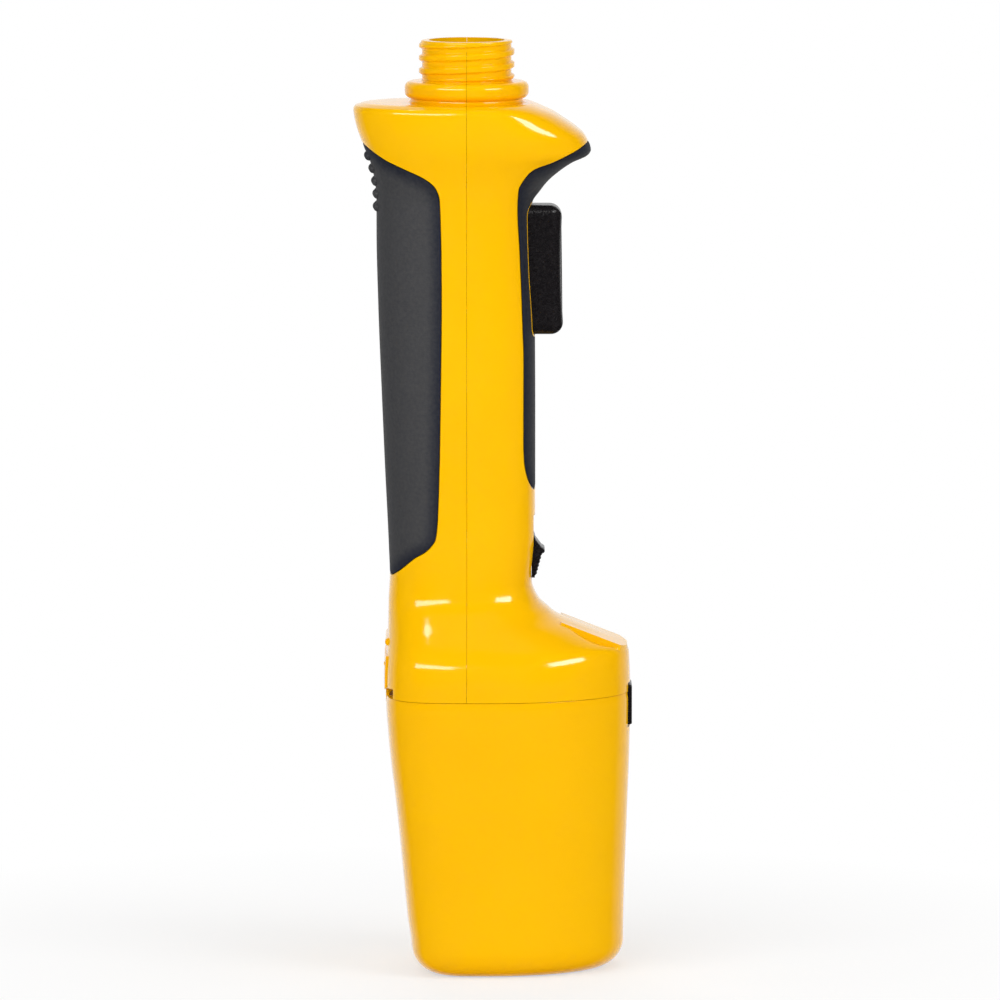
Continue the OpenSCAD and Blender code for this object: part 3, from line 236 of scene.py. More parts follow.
def skin_rings(levels, inset=0.0, drawn_in=0.0, columns=COLUMNS):
    """Rings of points on the skin at the given heights."""
    z = np.asarray(levels, float)[:, None]
    drawn_in = np.broadcast_to(np.asarray(drawn_in, float), np.shape(levels))[:, None]
    angle = full_turn(columns)[None, :]
    across, aside = np.cos(angle), np.sin(angle)
    middle = wide_line(z)
    half = reach(half_line, z, inset) - drawn_in
    ahead = across >= 0
    front, back = reach(front_line, z, inset) - middle, reach(back_line, z, inset) + middle
    along = np.where(ahead, front, back) - drawn_in
    power = np.where(ahead, front_power(z), back_power(z))
    radius = ((np.abs(across) / along) ** power + (np.abs(aside) / half) ** power) ** (-1 / power)
    return np.stack([middle + radius * across, radius * aside, np.broadcast_to(z, radius.shape)], axis=-1)


def back_x(z, y, inset=0.0):
    """Back of the handle at a height and a distance off the middle."""
    power, middle = back_power(z), wide_line(z)
    side = min(abs(y) / reach(half_line, z, inset), 1)
    return float(middle - (reach(back_line, z, inset) + middle) * (1 - side ** power) ** (1 / power))


def rows(low, high, step=ROW_STEP):
    """Evenly spaced heights from low to high."""
    return np.linspace(low, high, max(2, int(round((high - low) / step)) + 1))


def unit(vectors):
    """Vectors brought to a length of one."""
    return vectors / np.linalg.norm(vectors, axis=-1, keepdims=True)


def full_turn(count):
    """Evenly spaced angles of a full turn."""
    return np.linspace(0, 2 * math.pi, count, endpoint=False)


@contextmanager
def editing(mesh):
    """Opens a mesh for edits and writes them back."""
    body = bmesh.new()
    body.from_mesh(mesh)
    yield body
    body.to_mesh(mesh)
    body.free()


def new_object(name, data):
    """Object of the given data, in the scene."""
    thing = bpy.data.objects.new(name, data)
    bpy.context.scene.collection.objects.link(thing)
    return thing


def new_piece(name, points, faces):
    """Object made of points in millimetres and faces."""
    mesh = bpy.data.meshes.new(name)
    mesh.from_pydata((np.asarray(points, float) * MM).tolist(), [], faces)
    with editing(mesh) as body:
        bmesh.ops.recalc_face_normals(body, faces=body.faces)
    return new_object(name, mesh)


def from_rings(name, rings):
    """Closed object through rings of points."""
    count, width = rings.shape[:2]
    index = np.arange(count * width).reshape(count, width)
    after = np.roll(index, -1, axis=1)
    quads = np.stack([index[:-1], after[:-1], after[1:], index[1:]], axis=-1).reshape(-1, 4).tolist()
    return new_piece(name, rings.reshape(-1, 3), quads + [index[0].tolist(), index[-1].tolist()])


def prism(name, outline, low, high, axis="y"):
    """Outline drawn out along an axis: (x, z) points along Y, or (y, z) points along X."""
    flat = np.asarray(outline, float)
    order = {"y": (0, 2, 1), "x": (2, 0, 1)}[axis]
    rings = [np.column_stack([flat, np.full(len(flat), end)])[:, order] for end in (low, high)]
    return from_rings(name, np.array(rings))


def box(name, x, half, z, middle=0.0):
    """Box across the handle, between two places in x and two in z."""
    outline = [(x[0], z[0]), (x[1], z[0]), (x[1], z[1]), (x[0], z[1])]
    return prism(name, outline, middle - half, middle + half)


def circle(x, z, radius):
    """Points of a circle."""
    angle = full_turn(CIRCLE_COUNT)
    return np.column_stack([x + radius * np.cos(angle), z + radius * np.sin(angle)])


def bar(name, x, z, radius, half, middle=0.0):
    """Round bar across the handle."""
    return prism(name, circle(x, z, radius), middle - half, middle + half)


def rounded_outline(half_a, half_b, radius, along=0):
    """Points of a rectangle with round corners, about zero, with more points along its sides if asked."""
    points = []
    for turn, (a, b) in enumerate([(1, 1), (-1, 1), (-1, -1), (1, -1)]):
        for angle in np.linspace(0, math.pi / 2, CORNER_STEPS) + turn * math.pi / 2:
            points.append((a * (half_a - radius) + radius * math.cos(angle),
                           b * (half_b - radius) + radius * math.sin(angle)))
    corners = np.array(points).reshape(4, CORNER_STEPS, 2)
    filled = []
    for corner, following in zip(corners, np.roll(corners, -1, axis=0)):
        side = corner[-1] + (following[0] - corner[-1]) * np.linspace(0, 1, along + 2)[1:-1, None]
        filled += [corner, side]
    return np.concatenate(filled)


def revolve(name, profile):
    """Closed object of (radius, height) points turned round the neck's axis."""
    angle = full_turn(COLUMNS)
    rings = [np.column_stack([r * np.cos(angle), r * np.sin(angle), np.full(COLUMNS, z)]) for r, z in profile]
    return from_rings(name, np.array(rings))


def combine(piece, tool, operation):
    """Cuts, joins or crops a piece with a tool, which is used up."""
    change = piece.modifiers.new("change", "BOOLEAN")
    change.operation = operation
    change.solver = "MANIFOLD"
    change.object = tool
    depsgraph = bpy.context.evaluated_depsgraph_get()
    made = bpy.data.meshes.new_from_object(piece.evaluated_get(depsgraph))
    piece.modifiers.clear()
    old, piece.data = piece.data, made
    bpy.data.meshes.remove(old)
    bpy.data.meshes.remove(tool.data)
    return piece


def cut(piece, *tools):
    """Takes the tools out of a piece."""
    for tool in tools:
        combine(piece, tool, "DIFFERENCE")
    return piece


def join(piece, *tools):
    """Adds the tools to a piece."""
    for tool in tools:
        combine(piece, tool, "UNION")
    return piece


def crop(piece, tool):
    """Keeps what a piece shares with a tool."""
    return combine(piece, tool, "INTERSECT")


def bevel(piece, width, segments):
    """Rounds the sharp edges of a piece."""
    with editing(piece.data) as body:
        sharp = [e for e in body.edges if e.is_manifold and e.calc_face_angle(0) > math.radians(BEVEL_FROM)]
        bmesh.ops.bevel(body, geom=sharp, offset=width * MM, segments=segments, affect="EDGES",
                        profile=0.5, clamp_overlap=True)
    return piece


def shade(piece, angle=SHARP):
    """Smooth shading, with edges sharper than the angle kept."""
    piece.data.shade_smooth()
    piece.data.set_sharp_from_angle(angle=math.radians(angle))
    return piece


def place(piece, body, node, slot):
    """Puts a piece on its body in place of a CAD node, with its slot's material."""
    piece.data.materials.clear()
    piece.data.materials.append(finishes[slot])
    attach(piece, body)
    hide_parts(node)


# Springs

COIL_SIDES = 10
COIL_STEPS = 24
COIL_FLAT_TURNS = 0.5

# Axis, radius of the wire, turns, body and the joint that presses it
SPRINGS = {
    "trigger_spring": ("x", 0.45, 5, "handle", "trigger_slide"),
    "output_spring_1": ("z", 0.3, 5, "handle", "contact_left_slide"),
    "output_spring_2": ("z", 0.3, 5, "handle", "contact_right_slide"),
    "latch_spring": ("x", 0.22, 2, "case", "latch_hinge"),
    **{f"cell_spring_{cell}": ("z", 0.5, 3, "case", None) for cell in (1, 2, 3)},
}


def coil(name, radius, wire, length, turns, start, axis):
    """Coil spring whose ends lie flat, along an axis from its starting point."""
    turn = np.linspace(0, turns, turns * COIL_STEPS + 1)
    rise = np.clip((turn - COIL_FLAT_TURNS) / (turns - 2 * COIL_FLAT_TURNS), 0, 1)
    out = np.column_stack([np.cos(2 * math.pi * turn), np.sin(2 * math.pi * turn), 0 * turn])
    middle = radius * out + np.column_stack([0 * turn, 0 * turn, wire + (length - 2 * wire) * rise])
    aside = np.cross(unit(np.gradient(middle, axis=0)), out)
    angle = full_turn(COIL_SIDES)[None, :, None]
    rings = middle[:, None] + wire * (np.cos(angle) * out[:, None] + np.sin(angle) * aside[:, None])
    if axis == "x":
        rings = np.roll(rings, 1, axis=-1)
    return from_rings(name, rings + start)


def springs():
    """Coil springs. Each one that a joint presses gets a mesh of its own."""
    for node, (axis, wire, turns, body, joint) in SPRINGS.items():
        low, high = node_box(node)
        along = "xyz".index(axis)
        across = 1 if axis == "x" else 0
        length = high[along] - low[along]
        radius = (high[across] - low[across]) / 2 - wire
        start = (low + high) / 2
        start[along] = low[along]
        piece = coil(node + "_coil", radius, wire, length, turns, start, axis)
        place(shade(piece, SHARP_COIL), body, node, "steel")
        if joint:
            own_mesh(piece)


# Materials

NOISE_SPAN = (0.3, 0.7)
BEVEL_SAMPLES = 6
EDGE_GAP = "edge_gap"
WHITE = (1, 1, 1, 1)

# Looks: two colours, how they cloud (grains per millimetre, detail, stretch), roughness and its grains, and
# the relief's grain and depth. Without a grain the relief follows the clouds. edge_r rounds the edges.
METAL = {"cloud": (1.5, 3, (1, 1, 0.1)), "rough_grain": 2.0, "depth": 0.01, "shader": {"Metallic": 1.0}}
COAT = {"cloud": (0.6, 4), "rough_grain": 2.0, "grain": (3.0, 2), "depth": 0.02, "shader": {}}


def plain(base, dark, light, rough, **own):
    """Look on a common base, with its own colours and roughness."""
    return {**base, "dark": dark, "light": light, "rough": rough, **own}


LOOKS = {
    "yellow_plastic": {
        "dark": (0.98, 0.5, 0.0), "light": (1.0, 0.535, 0.0), "cloud": (0.02, 3), "rough": (0.08, 0.12),
        "rough_grain": 0.3, "grain": (0.12, 2), "depth": 0.02, "edge_r": 0.18,
        "shader": {"Specular_IOR_Level": 0.6}},
    "black_plastic": {
        "dark": (0.006, 0.005, 0.006), "light": (0.012, 0.010, 0.011), "cloud": (0.8, 4),
        "rough": (0.2, 0.34), "rough_grain": 1.2, "grain": (1.4, 3), "depth": 0.12, "edge_r": 0.2,
        "shader": {"Specular_IOR_Level": 0.4}},
    "steel": plain(METAL, (0.5, 0.5, 0.51), (0.66, 0.66, 0.67), (0.22, 0.34)),
    "brass": plain(METAL, (0.55, 0.37, 0.12), (0.74, 0.53, 0.2), (0.24, 0.36)),
    "cell_jacket": plain(METAL, (0.42, 0.42, 0.43), (0.55, 0.55, 0.56), (0.26, 0.38)),
    "ivory_plastic": plain(COAT, (0.6, 0.55, 0.45), (0.68, 0.63, 0.53), (0.33, 0.47)),
    "board_laminate": plain(COAT, (0.012, 0.07, 0.03), (0.03, 0.13, 0.06), (0.28, 0.42), cloud=(1.2, 4)),
    "core_iron": plain(COAT, (0.05, 0.05, 0.055), (0.1, 0.1, 0.105), (0.43, 0.57),
                       cloud=(1.0, 4), depth=0.05),
    "capacitor_sleeve": plain(COAT, (0.01, 0.03, 0.12), (0.016, 0.045, 0.16), (0.23, 0.37)),
    "red_lead": plain(COAT, (0.3, 0.012, 0.01), (0.42, 0.02, 0.016), (0.35, 0.49)),
    "black_lead": plain(COAT, (0.01, 0.01, 0.011), (0.02, 0.02, 0.021), (0.35, 0.49)),
    "pale_lead": plain(COAT, (0.45, 0.43, 0.38), (0.56, 0.54, 0.48), (0.35, 0.49)),
}
# Rubber: its dark navy colour, with the edge width and part, paints shade along the rubber's edge, where the
# groove by the casing is in shade; the specks give random tone.
RUBBER = {"dark": (0.013, 0.016, 0.029), "light": (0.058, 0.058, 0.060), "stops": (0.2, 0.82), "edge_shade_w": 4.5,
          "edge_shade_part": 0.5, "speck": (1.1, 6), "speck_part": 0.45, "rough": (0.55, 0.7), "rough_grain": 1.5,
          "specular": 0.1, "grain": (2.0, 3), "depth": 0.04, "hairs": (0.9, 2, (0.04, 0.04, 1)),
          "hair_depth": 0.03, "sheen": (1, 0.98, 0.95, 1), "sheen_rough": 0.45, "sheen_part": 0.02}
WINDING = {"dark": (0.16, 0.05, 0.015), "light": (0.5, 0.19, 0.06), "turns": 0.4, "waver": 0.4, "depth": 0.1,
           "metallic": 0.8, "rough": 0.35}


def feed(node, socket, value):
    """Gives an input of a node a fixed value, or links it to another node's output."""
    if isinstance(value, bpy.types.NodeSocket):
        node.id_data.links.new(value, node.inputs[socket])
    else:
        node.inputs[socket].default_value = value


def set_inputs(node, **values):
    """Feeds inputs of a node, by name with underscores for spaces."""
    for name, value in values.items():
        feed(node, name.replace("_", " "), value)


def add_node(tree, kind, **values):
    """New node with some of its inputs fed."""
    node = tree.nodes.new("ShaderNode" + kind)
    set_inputs(node, **values)
    return node


def new_material(name):
    """Material with its node tree, its shader and a texture place in metres."""
    material = bpy.data.materials.new(name)
    material.use_nodes = True
    tree = material.node_tree
    return material, tree, tree.nodes["Principled BSDF"], add_node(tree, "TexCoord").outputs["Object"]


def noise(tree, where, per_mm, detail=2.0, stretch=None):
    """Noise with a given number of grains per millimetre."""
    if stretch:
        where = add_node(tree, "Mapping", Vector=where, Scale=stretch).outputs["Vector"]
    return add_node(tree, "TexNoise", Vector=where, Scale=per_mm / MM, Detail=detail).outputs["Fac"]


def ramp(tree, value, low, high, stops=NOISE_SPAN):
    """Colours between two values of a texture."""
    colours = add_node(tree, "ValToRGB", Fac=value)
    for stop, place_at, colour in zip(colours.color_ramp.elements, stops, (low, high)):
        stop.position = place_at
        stop.color = (*colour, 1)
    return colours.outputs["Color"]


def spread(tree, value, result, span=NOISE_SPAN, kind="LINEAR"):
    """Value spread from one span over another."""
    scale = add_node(tree, "MapRange", Value=value, From_Min=span[0], From_Max=span[1],
                     To_Min=result[0], To_Max=result[1])
    scale.interpolation_type = kind
    return scale.outputs["Result"]


def worked_out(tree, operation, *values):
    """Result of a sum on values."""
    node = add_node(tree, "Math")
    node.operation = operation
    for place_at, value in enumerate(values):
        feed(node, place_at, value)
    return node.outputs[0]


def mixed(tree, share, first, second):
    """Shader between two others."""
    mix = add_node(tree, "MixShader", Fac=share)
    feed(mix, 1, first)
    feed(mix, 2, second)
    return mix.outputs[0]


def bump(tree, shader, height, depth, round_edges=0.0, normal=None):
    """Relief on the shader's normal, with edges rounded over a radius in millimetres."""
    relief = add_node(tree, "Bump", Height=height, Distance=depth * MM)
    if round_edges:
        soft = add_node(tree, "Bevel", Radius=round_edges * MM)
        soft.samples = BEVEL_SAMPLES
        normal = soft.outputs["Normal"]
    if normal:
        set_inputs(relief, Normal=normal)
    set_inputs(shader, Normal=relief.outputs["Normal"])
    return relief.outputs["Normal"]


def surface(name, look):
    """Material with clouded or streaked colours, uneven roughness and a fine relief."""
    material, tree, shader, where = new_material(name)
    clouds = noise(tree, where, *look["cloud"])
    set_inputs(shader, Base_Color=ramp(tree, clouds, look["dark"], look["light"]),
               Roughness=spread(tree, noise(tree, where, look["rough_grain"]), look["rough"]),
               **look["shader"])
    height = noise(tree, where, *look["grain"]) if "grain" in look else clouds
    bump(tree, shader, height, look["depth"], look.get("edge_r", 0.0))
    return material


def grip_rubber():
    """Charcoal rubber with painted shade along its edge, dark and bluer where it meets the casing, and a fine
    grain, faint hairlines and a soft sheen.
    """
    material, tree, shader, where = new_material("grip_rubber")
    # Painted shade: near the rubber's edge the tone falls towards the dark navy colour, standing in for the
    # shade in the groove along the casing.
    gap = add_node(tree, "Attribute")
    gap.attribute_name = EDGE_GAP
    inward = spread(tree, gap.outputs["Fac"], (0, RUBBER["edge_shade_part"]), (0, RUBBER["edge_shade_w"]), "SMOOTHSTEP")
    specks = noise(tree, where, *RUBBER["speck"])
    tone = worked_out(tree, "MULTIPLY_ADD", specks, RUBBER["speck_part"], inward)
    set_inputs(shader, Base_Color=ramp(tree, tone, RUBBER["dark"], RUBBER["light"], RUBBER["stops"]),
               Roughness=spread(tree, noise(tree, where, RUBBER["rough_grain"]), RUBBER["rough"]),
               Specular_IOR_Level=RUBBER["specular"])
    grain = bump(tree, shader, noise(tree, where, *RUBBER["grain"]), RUBBER["depth"])
    relief = bump(tree, shader, noise(tree, where, *RUBBER["hairs"]), RUBBER["hair_depth"], normal=grain)
    sheen = add_node(tree, "BsdfGlossy", Normal=relief, Color=RUBBER["sheen"],
                     Roughness=RUBBER["sheen_rough"])
    both = mixed(tree, RUBBER["sheen_part"], shader.outputs[0], sheen.outputs[0])
    set_inputs(tree.nodes["Material Output"], Surface=both)
    return material


def wound_wire():
    """Enamelled copper wire in close turns."""
    material, tree, shader, where = new_material("copper_wire")
    turns = add_node(tree, "TexWave", Vector=where, Scale=WINDING["turns"] / MM, Distortion=WINDING["waver"])
    turns.bands_direction = "Z"
    bands = turns.outputs["Fac"]
    set_inputs(shader, Base_Color=ramp(tree, bands, WINDING["dark"], WINDING["light"]),
               Metallic=WINDING["metallic"], Roughness=WINDING["rough"])
    bump(tree, shader, bands, WINDING["depth"])
    return material


def materials():
    """A material for every slot of the record."""
    made = {name: surface(name, look) for name, look in LOOKS.items()}
    return {**made, "grip_rubber": grip_rubber(), "copper_wire": wound_wire()}


finishes = materials()


# Handle

def edge_points(shares, reach_mm):
    """Smooth side outline of a rubber, as (x, z) points from its foot up."""
    corners = np.array([(reach_mm * v, Z_GRIP + s * GRIP_H if s < 1 else Z_GUARD + (s - 1) * GUARD_H)
                        for s, v in shares])
    run = np.concatenate([[0], np.cumsum(np.hypot(*np.diff(corners, axis=0).T))])
    at = np.linspace(0, run[-1], EDGE_COUNT)
    return np.column_stack([smooth(np.column_stack([run, corners[:, k]]))(at) for k in (0, 1)])


def moved_out(points, distance):
    """Outline moved sideways by a distance, to the right of its direction."""
    along = unit(np.gradient(points, axis=0))
    return points + distance * np.column_stack([along[:, 1], -along[:, 0]])


palm_edge = edge_points(PALM_EDGE_SHARES, -GRIP["back"])
finger_edge = edge_points(FINGER_EDGE_SHARES, GRIP["front"])


def zone_block(edge, far):
    """Block from a rubber's edge out to a far place."""
    half = 2 * GUARD["half"]
    return prism("block", np.vstack([edge, [(far, Z_TOP), (far, Z_GRIP)]]), -half, half)


def palm_zone(grow=0.0):
    """Block that holds the palm rubber."""
    return zone_block(moved_out(palm_edge, grow), -2 * GUARD["back"])


TRIGGER_CORNER = 2.2
TRIGGER_LIP = 1.4
WINDOW_RIM = 0.6
trigger_low, trigger_high = node_box("trigger")
trigger_mid = (trigger_low[2] + trigger_high[2]) / 2
trigger_half_w, trigger_half_h = (trigger_high - trigger_low)[1:] / 2 - TRIGGER_LIP


def trigger_window(grow):
    """Block through the window of the trigger."""
    outline = rounded_outline(trigger_half_w + grow, trigger_half_h + grow, TRIGGER_CORNER + grow)
    return prism("window", outline + (0, trigger_mid), 0, 2 * GUARD["front"], axis="x")


def finger_zone(grow=0.0):
    """Block that holds the finger rubber, open at the trigger's window."""
    block = zone_block(moved_out(finger_edge, -grow), 2 * GUARD["front"])
    return cut(block, trigger_window(FIT + WINDOW_RIM - grow))


GUARD_CROWN = [(0.985, 0.08), (0.95, 0.16), (0.85, 0.22), (0.6, 0.25)]


def handle_skin(name, inset=0.0):
    """Closed outer skin of the handle, crowned at the top."""
    levels = rows(SEAM, Z_TOP - max(inset, 0))
    rings = skin_rings(levels, inset)
    crown = [rings[-1] * (share, share, 1) + (0, 0, rise) for share, rise in GUARD_CROWN]
    return from_rings(name, np.concatenate([rings, crown]))


FLANGE_EDGE = 1.7
COVE_R = 15.4
COVE_FILLET = 1.0
FLANGE_UNDER = -75
FLANGE_CORE_R = 1.0
NECK_FILLET = 0.7
NECK_FILLET_END = 200
NECK_SINK = 0.5
RIM_EDGE = 0.5


def arc(middle, radius, start, end):
    """Points of an arc in (radius, height), angles in degrees."""
    angle = np.radians(np.linspace(start, end, ARC_STEPS))
    return [(middle[0] + radius * math.cos(a), middle[1] + radius * math.sin(a)) for a in angle]


def flange():
    """Flange under the thread, with the cove below it."""
    base = Z_TOP + GUARD_CROWN[-1][1]
    profile = [(FLANGE_CORE_R, Z_TOP - WALL), (COVE_R + COVE_FILLET, Z_TOP - WALL)]
    profile += arc((COVE_R + COVE_FILLET, base + COVE_FILLET), COVE_FILLET, 270, 180)
    profile += arc((FLANGE_R - FLANGE_EDGE, Z_FLANGE + FLANGE_EDGE), FLANGE_EDGE, FLANGE_UNDER, 0)
    profile += arc((FLANGE_R - FLANGE_EDGE, Z_NECK - FLANGE_EDGE), FLANGE_EDGE, 0, 90)
    profile += arc((NECK_R + NECK_FILLET, Z_NECK + NECK_FILLET), NECK_FILLET, 270, NECK_FILLET_END)
    profile += [(FLANGE_CORE_R, Z_NECK + NECK_FILLET)]
    return revolve("flange", profile)


THREAD_GROOVE_SHARE = 0.3
THREAD_SLOPE_SHARE = 0.4
THREAD_RUN_SHARE = 0.12


def neck():
    """Neck with its right-handed thread."""
    high = RIM - Z_NECK
    angle = full_turn(COLUMNS)[None, :]
    z = rows(Z_NECK - NECK_SINK, RIM - RIM_EDGE, THREAD_ROW_STEP)[:, None]
    turn = (z - Z_NECK) / THREAD_PITCH - angle / (2 * math.pi) - THREAD_START_SHARE
    wave = np.abs(2 * (turn - np.floor(turn)) - 1)
    run = np.minimum(z - Z_NECK, RIM - z) / (THREAD_RUN_SHARE * high)
    ridge = np.clip(np.minimum((wave - THREAD_GROOVE_SHARE) / THREAD_SLOPE_SHARE, run), 0, 1)
    radius = NECK_R + THREAD_D * ridge * ridge * (3 - 2 * ridge)
    height = np.broadcast_to(z, radius.shape)
    rings = np.stack([radius * np.cos(angle), radius * np.sin(angle), height], axis=-1)
    rim = []
    for a in np.linspace(0, math.pi / 2, ARC_STEPS)[1:]:
        share = 1 - RIM_EDGE * (1 - math.cos(a)) / NECK_R
        rim.append(rings[-1] * (share, share, 1) + (0, 0, RIM_EDGE * math.sin(a)))
    return from_rings("neck", np.concatenate([rings, rim]))


PAD_D = 0.3
PAD_SHARES = (0.575, 0.98)
PAD_HEIGHT_SHARES = (0.65, 0.415)
PAD_HALF = 11.0
PAD_INSET = 0.6
PAD_DIP = 1.9
PAD_DIP_RISE = 1.5
PAD_DIP_OVER = 0.15
PAD_DIP_FLAT = 1e-4
PAD_SLIT = 0.02
PANEL_D = 0.5
PANEL_HALF = 14.0
PANEL_FOOT = 1.6
PANEL_H = 9.2
RIB_R = 1.1
RIB_HALF = 11.0
RIB_SHARES = (0.28, 0.48)


def pad_line():
    """Back and front ends of the pad's top, in x and in z."""
    ends_x = [share * CASE["front"] for share in PAD_SHARES]
    ends_z = [SEAM + share * SHOULDER_H + PAD_D for share in PAD_HEIGHT_SHARES]
    return ends_x, ends_z


def pad_dips():
    """Shallow hollow in the shoulder along each side of the pad."""
    (back, front), (back_z, front_z) = pad_line()
    along = np.linspace(-PAD_DIP_OVER, 1 + PAD_DIP_OVER, DIP_STEPS)
    bow = 1 - (2 * np.linspace(0, 1, len(along)) - 1) ** 2
    x = back + along * (front - back)
    z = back_z + along * (front_z - back_z) + PAD_DIP_RISE - (PAD_DIP + PAD_DIP_RISE) * bow
    top = z.max() + PAD_DIP_RISE
    outline = [*zip(x, z), (x[-1], top), (x[0], top)]
    spans = [(PAD_HALF + PAD_SLIT, CASE["front"]), (-CASE["front"], -PAD_HALF - PAD_SLIT)]
    return [prism("pad_dip", outline, *span) for span in spans]


def crisp_dips(piece):
    """Keeps the edges of the hollows beside the pad sharp, on a piece that is already shaded."""
    with editing(piece.data) as body:
        for edge in body.edges:
            in_dip = [abs(face.normal.y) < PAD_DIP_FLAT and abs(face.calc_center_median().y) > PAD_HALF * MM
                      for face in edge.link_faces]
            if any(in_dip) and not all(in_dip):
                edge.smooth = False
    return piece


def shoulder_pad():
    """Flat raised pad on the sloping front shoulder."""
    (back, front), (back_z, front_z) = pad_line()
    foot = front_z - PAD_D - WALL
    side = [(back, foot), (front, foot), (front, front_z), (back, back_z)]
    wedge = prism("pad", side, -PAD_HALF, PAD_HALF)
    ring = skin_rings([SEAM], PAD_INSET)[0]
    column = np.stack([np.column_stack([ring[:, :2], np.full(len(ring), z)]) for z in (SEAM, Z_GRIP)])
    return crop(wedge, from_rings("pad_column", column))


def back_panel():
    """Raised panel over the hinge."""
    block = box("panel_block", (-CASE["back"] - OVERRUN, -CASE["back"] / 2), PANEL_HALF,
                (SEAM + PANEL_FOOT, SEAM + PANEL_FOOT + PANEL_H))
    return crop(handle_skin("panel", -PANEL_D), block)


def back_ribs():
    """Ribs across the back panel."""
    heights = [SEAM + share * SHOULDER_H for share in RIB_SHARES]
    return [bar("rib", back_x(z, 0) + RIB_R / 2, z, RIB_R, RIB_HALF) for z in heights]


def outside(block):
    """Block without what lies deeper than a rubber goes."""
    return cut(block, handle_skin("inner_skin", RUBBER_T))


def casing():
    """Casing of the handle in one piece, hollow, with room for the rubbers."""
    piece = handle_skin("casing")
    join(piece, flange(), neck(), shoulder_pad(), back_panel(), *back_ribs())
    inner = rows(SEAM + WALL, Z_TOP - 2 * WALL, CAVITY_ROW_STEP)
    levels = np.concatenate([[SEAM - OVERRUN], inner, [Z_TOP - WALL]])
    cut(piece, from_rings("cavity", skin_rings(levels, WALL)))
    cut(piece, revolve("bore", [(BORE_R, Z_TOP - WALL - OVERRUN), (BORE_R, RIM + OVERRUN)]))
    cut(piece, outside(palm_zone(RUBBER_GAP)), outside(finger_zone(RUBBER_GAP)))
    return piece


def pin_of(node):
    """Middle in x and z, and radius, of a pin that lies across the handle."""
    low, high = node_box(node)
    return (low[0] + high[0]) / 2, (low[2] + high[2]) / 2, (high[0] - low[0]) / 2


HINGE_HALF = 11.5
HINGE_MIDDLE_HALF = 6.2
KNUCKLE_R = 1.9
HINGE_RELIEF = 0.8
HINGE_RELIEF_HALF = 22.0
hinge_x, hinge_z, hinge_pin_r = pin_of("hinge_pin")
hinge_sides = [side * (HINGE_HALF + HINGE_MIDDLE_HALF + FIT) / 2 for side in (-1, 1)]


def hinge_bar(name, radius, half, middle=0.0):
    """Round bar about the hinge's axis."""
    return bar(name, hinge_x, hinge_z, radius, half, middle)


def hinge_hole():
    """Hole for the hinge pin."""
    return hinge_bar("pin_hole", hinge_pin_r + PIN_FIT, HINGE_HALF + OVERRUN)


def half_casing(whole, name, x):
    """Copy of the casing between two places in x."""
    return crop(new_object(name, whole.data.copy()), box("half", x, 2 * CASE["half"], (0, 2 * RIM)))


def front_shell(whole):
    """Front half of the casing, with its trigger window, slider track and latch keep."""
    piece = half_casing(whole, "front_casing", (PARTING_GAP, 2 * CASE["front"]))
    cut(piece, trigger_window(FIT), *slider_track(), latch_keep(), *pad_dips())
    place(crisp_dips(shade(piece)), "handle", "front_shell", "yellow_plastic")


def back_shell(whole):
    """Back half of the casing, with its hinge knuckles."""
    piece = half_casing(whole, "back_casing", (-2 * CASE["front"], -PARTING_GAP))
    cut(piece, hinge_bar("relief", KNUCKLE_R + HINGE_RELIEF, HINGE_RELIEF_HALF))
    half = (HINGE_HALF - HINGE_MIDDLE_HALF - FIT) / 2
    for middle in hinge_sides:
        web = box("web", (hinge_x - KNUCKLE_R, hinge_x + KNUCKLE_R), half,
                  (hinge_z, hinge_z + KNUCKLE_R + HINGE_RELIEF + OVERRUN), middle)
        join(piece, hinge_bar("knuckle", KNUCKLE_R, half, middle), web)
    cut(piece, hinge_hole())
    place(shade(piece), "handle", "back_shell", "yellow_plastic")


RUBBER_EDGE = 1.1
RUBBER_EDGE_DROP = 0.35


def edge_gap(edge, x, z):
    """How far points lie from a rubber's edge, seen from the side."""
    gap = np.full(np.shape(x), FAR)
    for point in edge:
        gap = np.minimum(gap, np.hypot(x - point[0], z - point[1]))
    return gap


def pillowed_skin(name, edge):
    """Skin that sinks a little along a rubber's edge."""
    levels = rows(Z_GRIP, Z_TOP - WALL, RUBBER_ROW_STEP)
    rings = skin_rings(levels, columns=2 * COLUMNS)
    t = np.clip(edge_gap(edge, rings[..., 0], rings[..., 2]) / RUBBER_EDGE, 0, 1)
    drop = RUBBER_EDGE_DROP * (1 - np.sqrt(1 - (1 - t) ** 2))
    middle = wide_line(levels)[:, None]
    out = np.stack([rings[..., 0] - middle, rings[..., 1]], axis=-1)
    rings[..., :2] -= drop[..., None] * unit(out)
    return from_rings(name, rings)


def mark_edge(piece, edge):
    """Keeps on each point of a rubber how far it lies from the rubber's edge, for the painted shade along
    that edge in its material.
    """
    spots = np.empty(3 * len(piece.data.vertices))
    piece.data.vertices.foreach_get("co", spots)
    x, z = spots.reshape(-1, 3).T[[0, 2]] / MM
    marks = piece.data.attributes.new(EDGE_GAP, "FLOAT", "POINT")
    marks.data.foreach_set("value", edge_gap(edge, x, z).astype(np.float32))


NUB_R = 1.25
NUB_STEP = 3.5
NUB_ROWS = 5
NUB_COLUMNS = 3
NUB_COLUMN_STEP = 4.4
NUB_TOP_SHARE = 0.465
NUB_SINK_SHARE = 0.15
NUB_FINENESS = 3


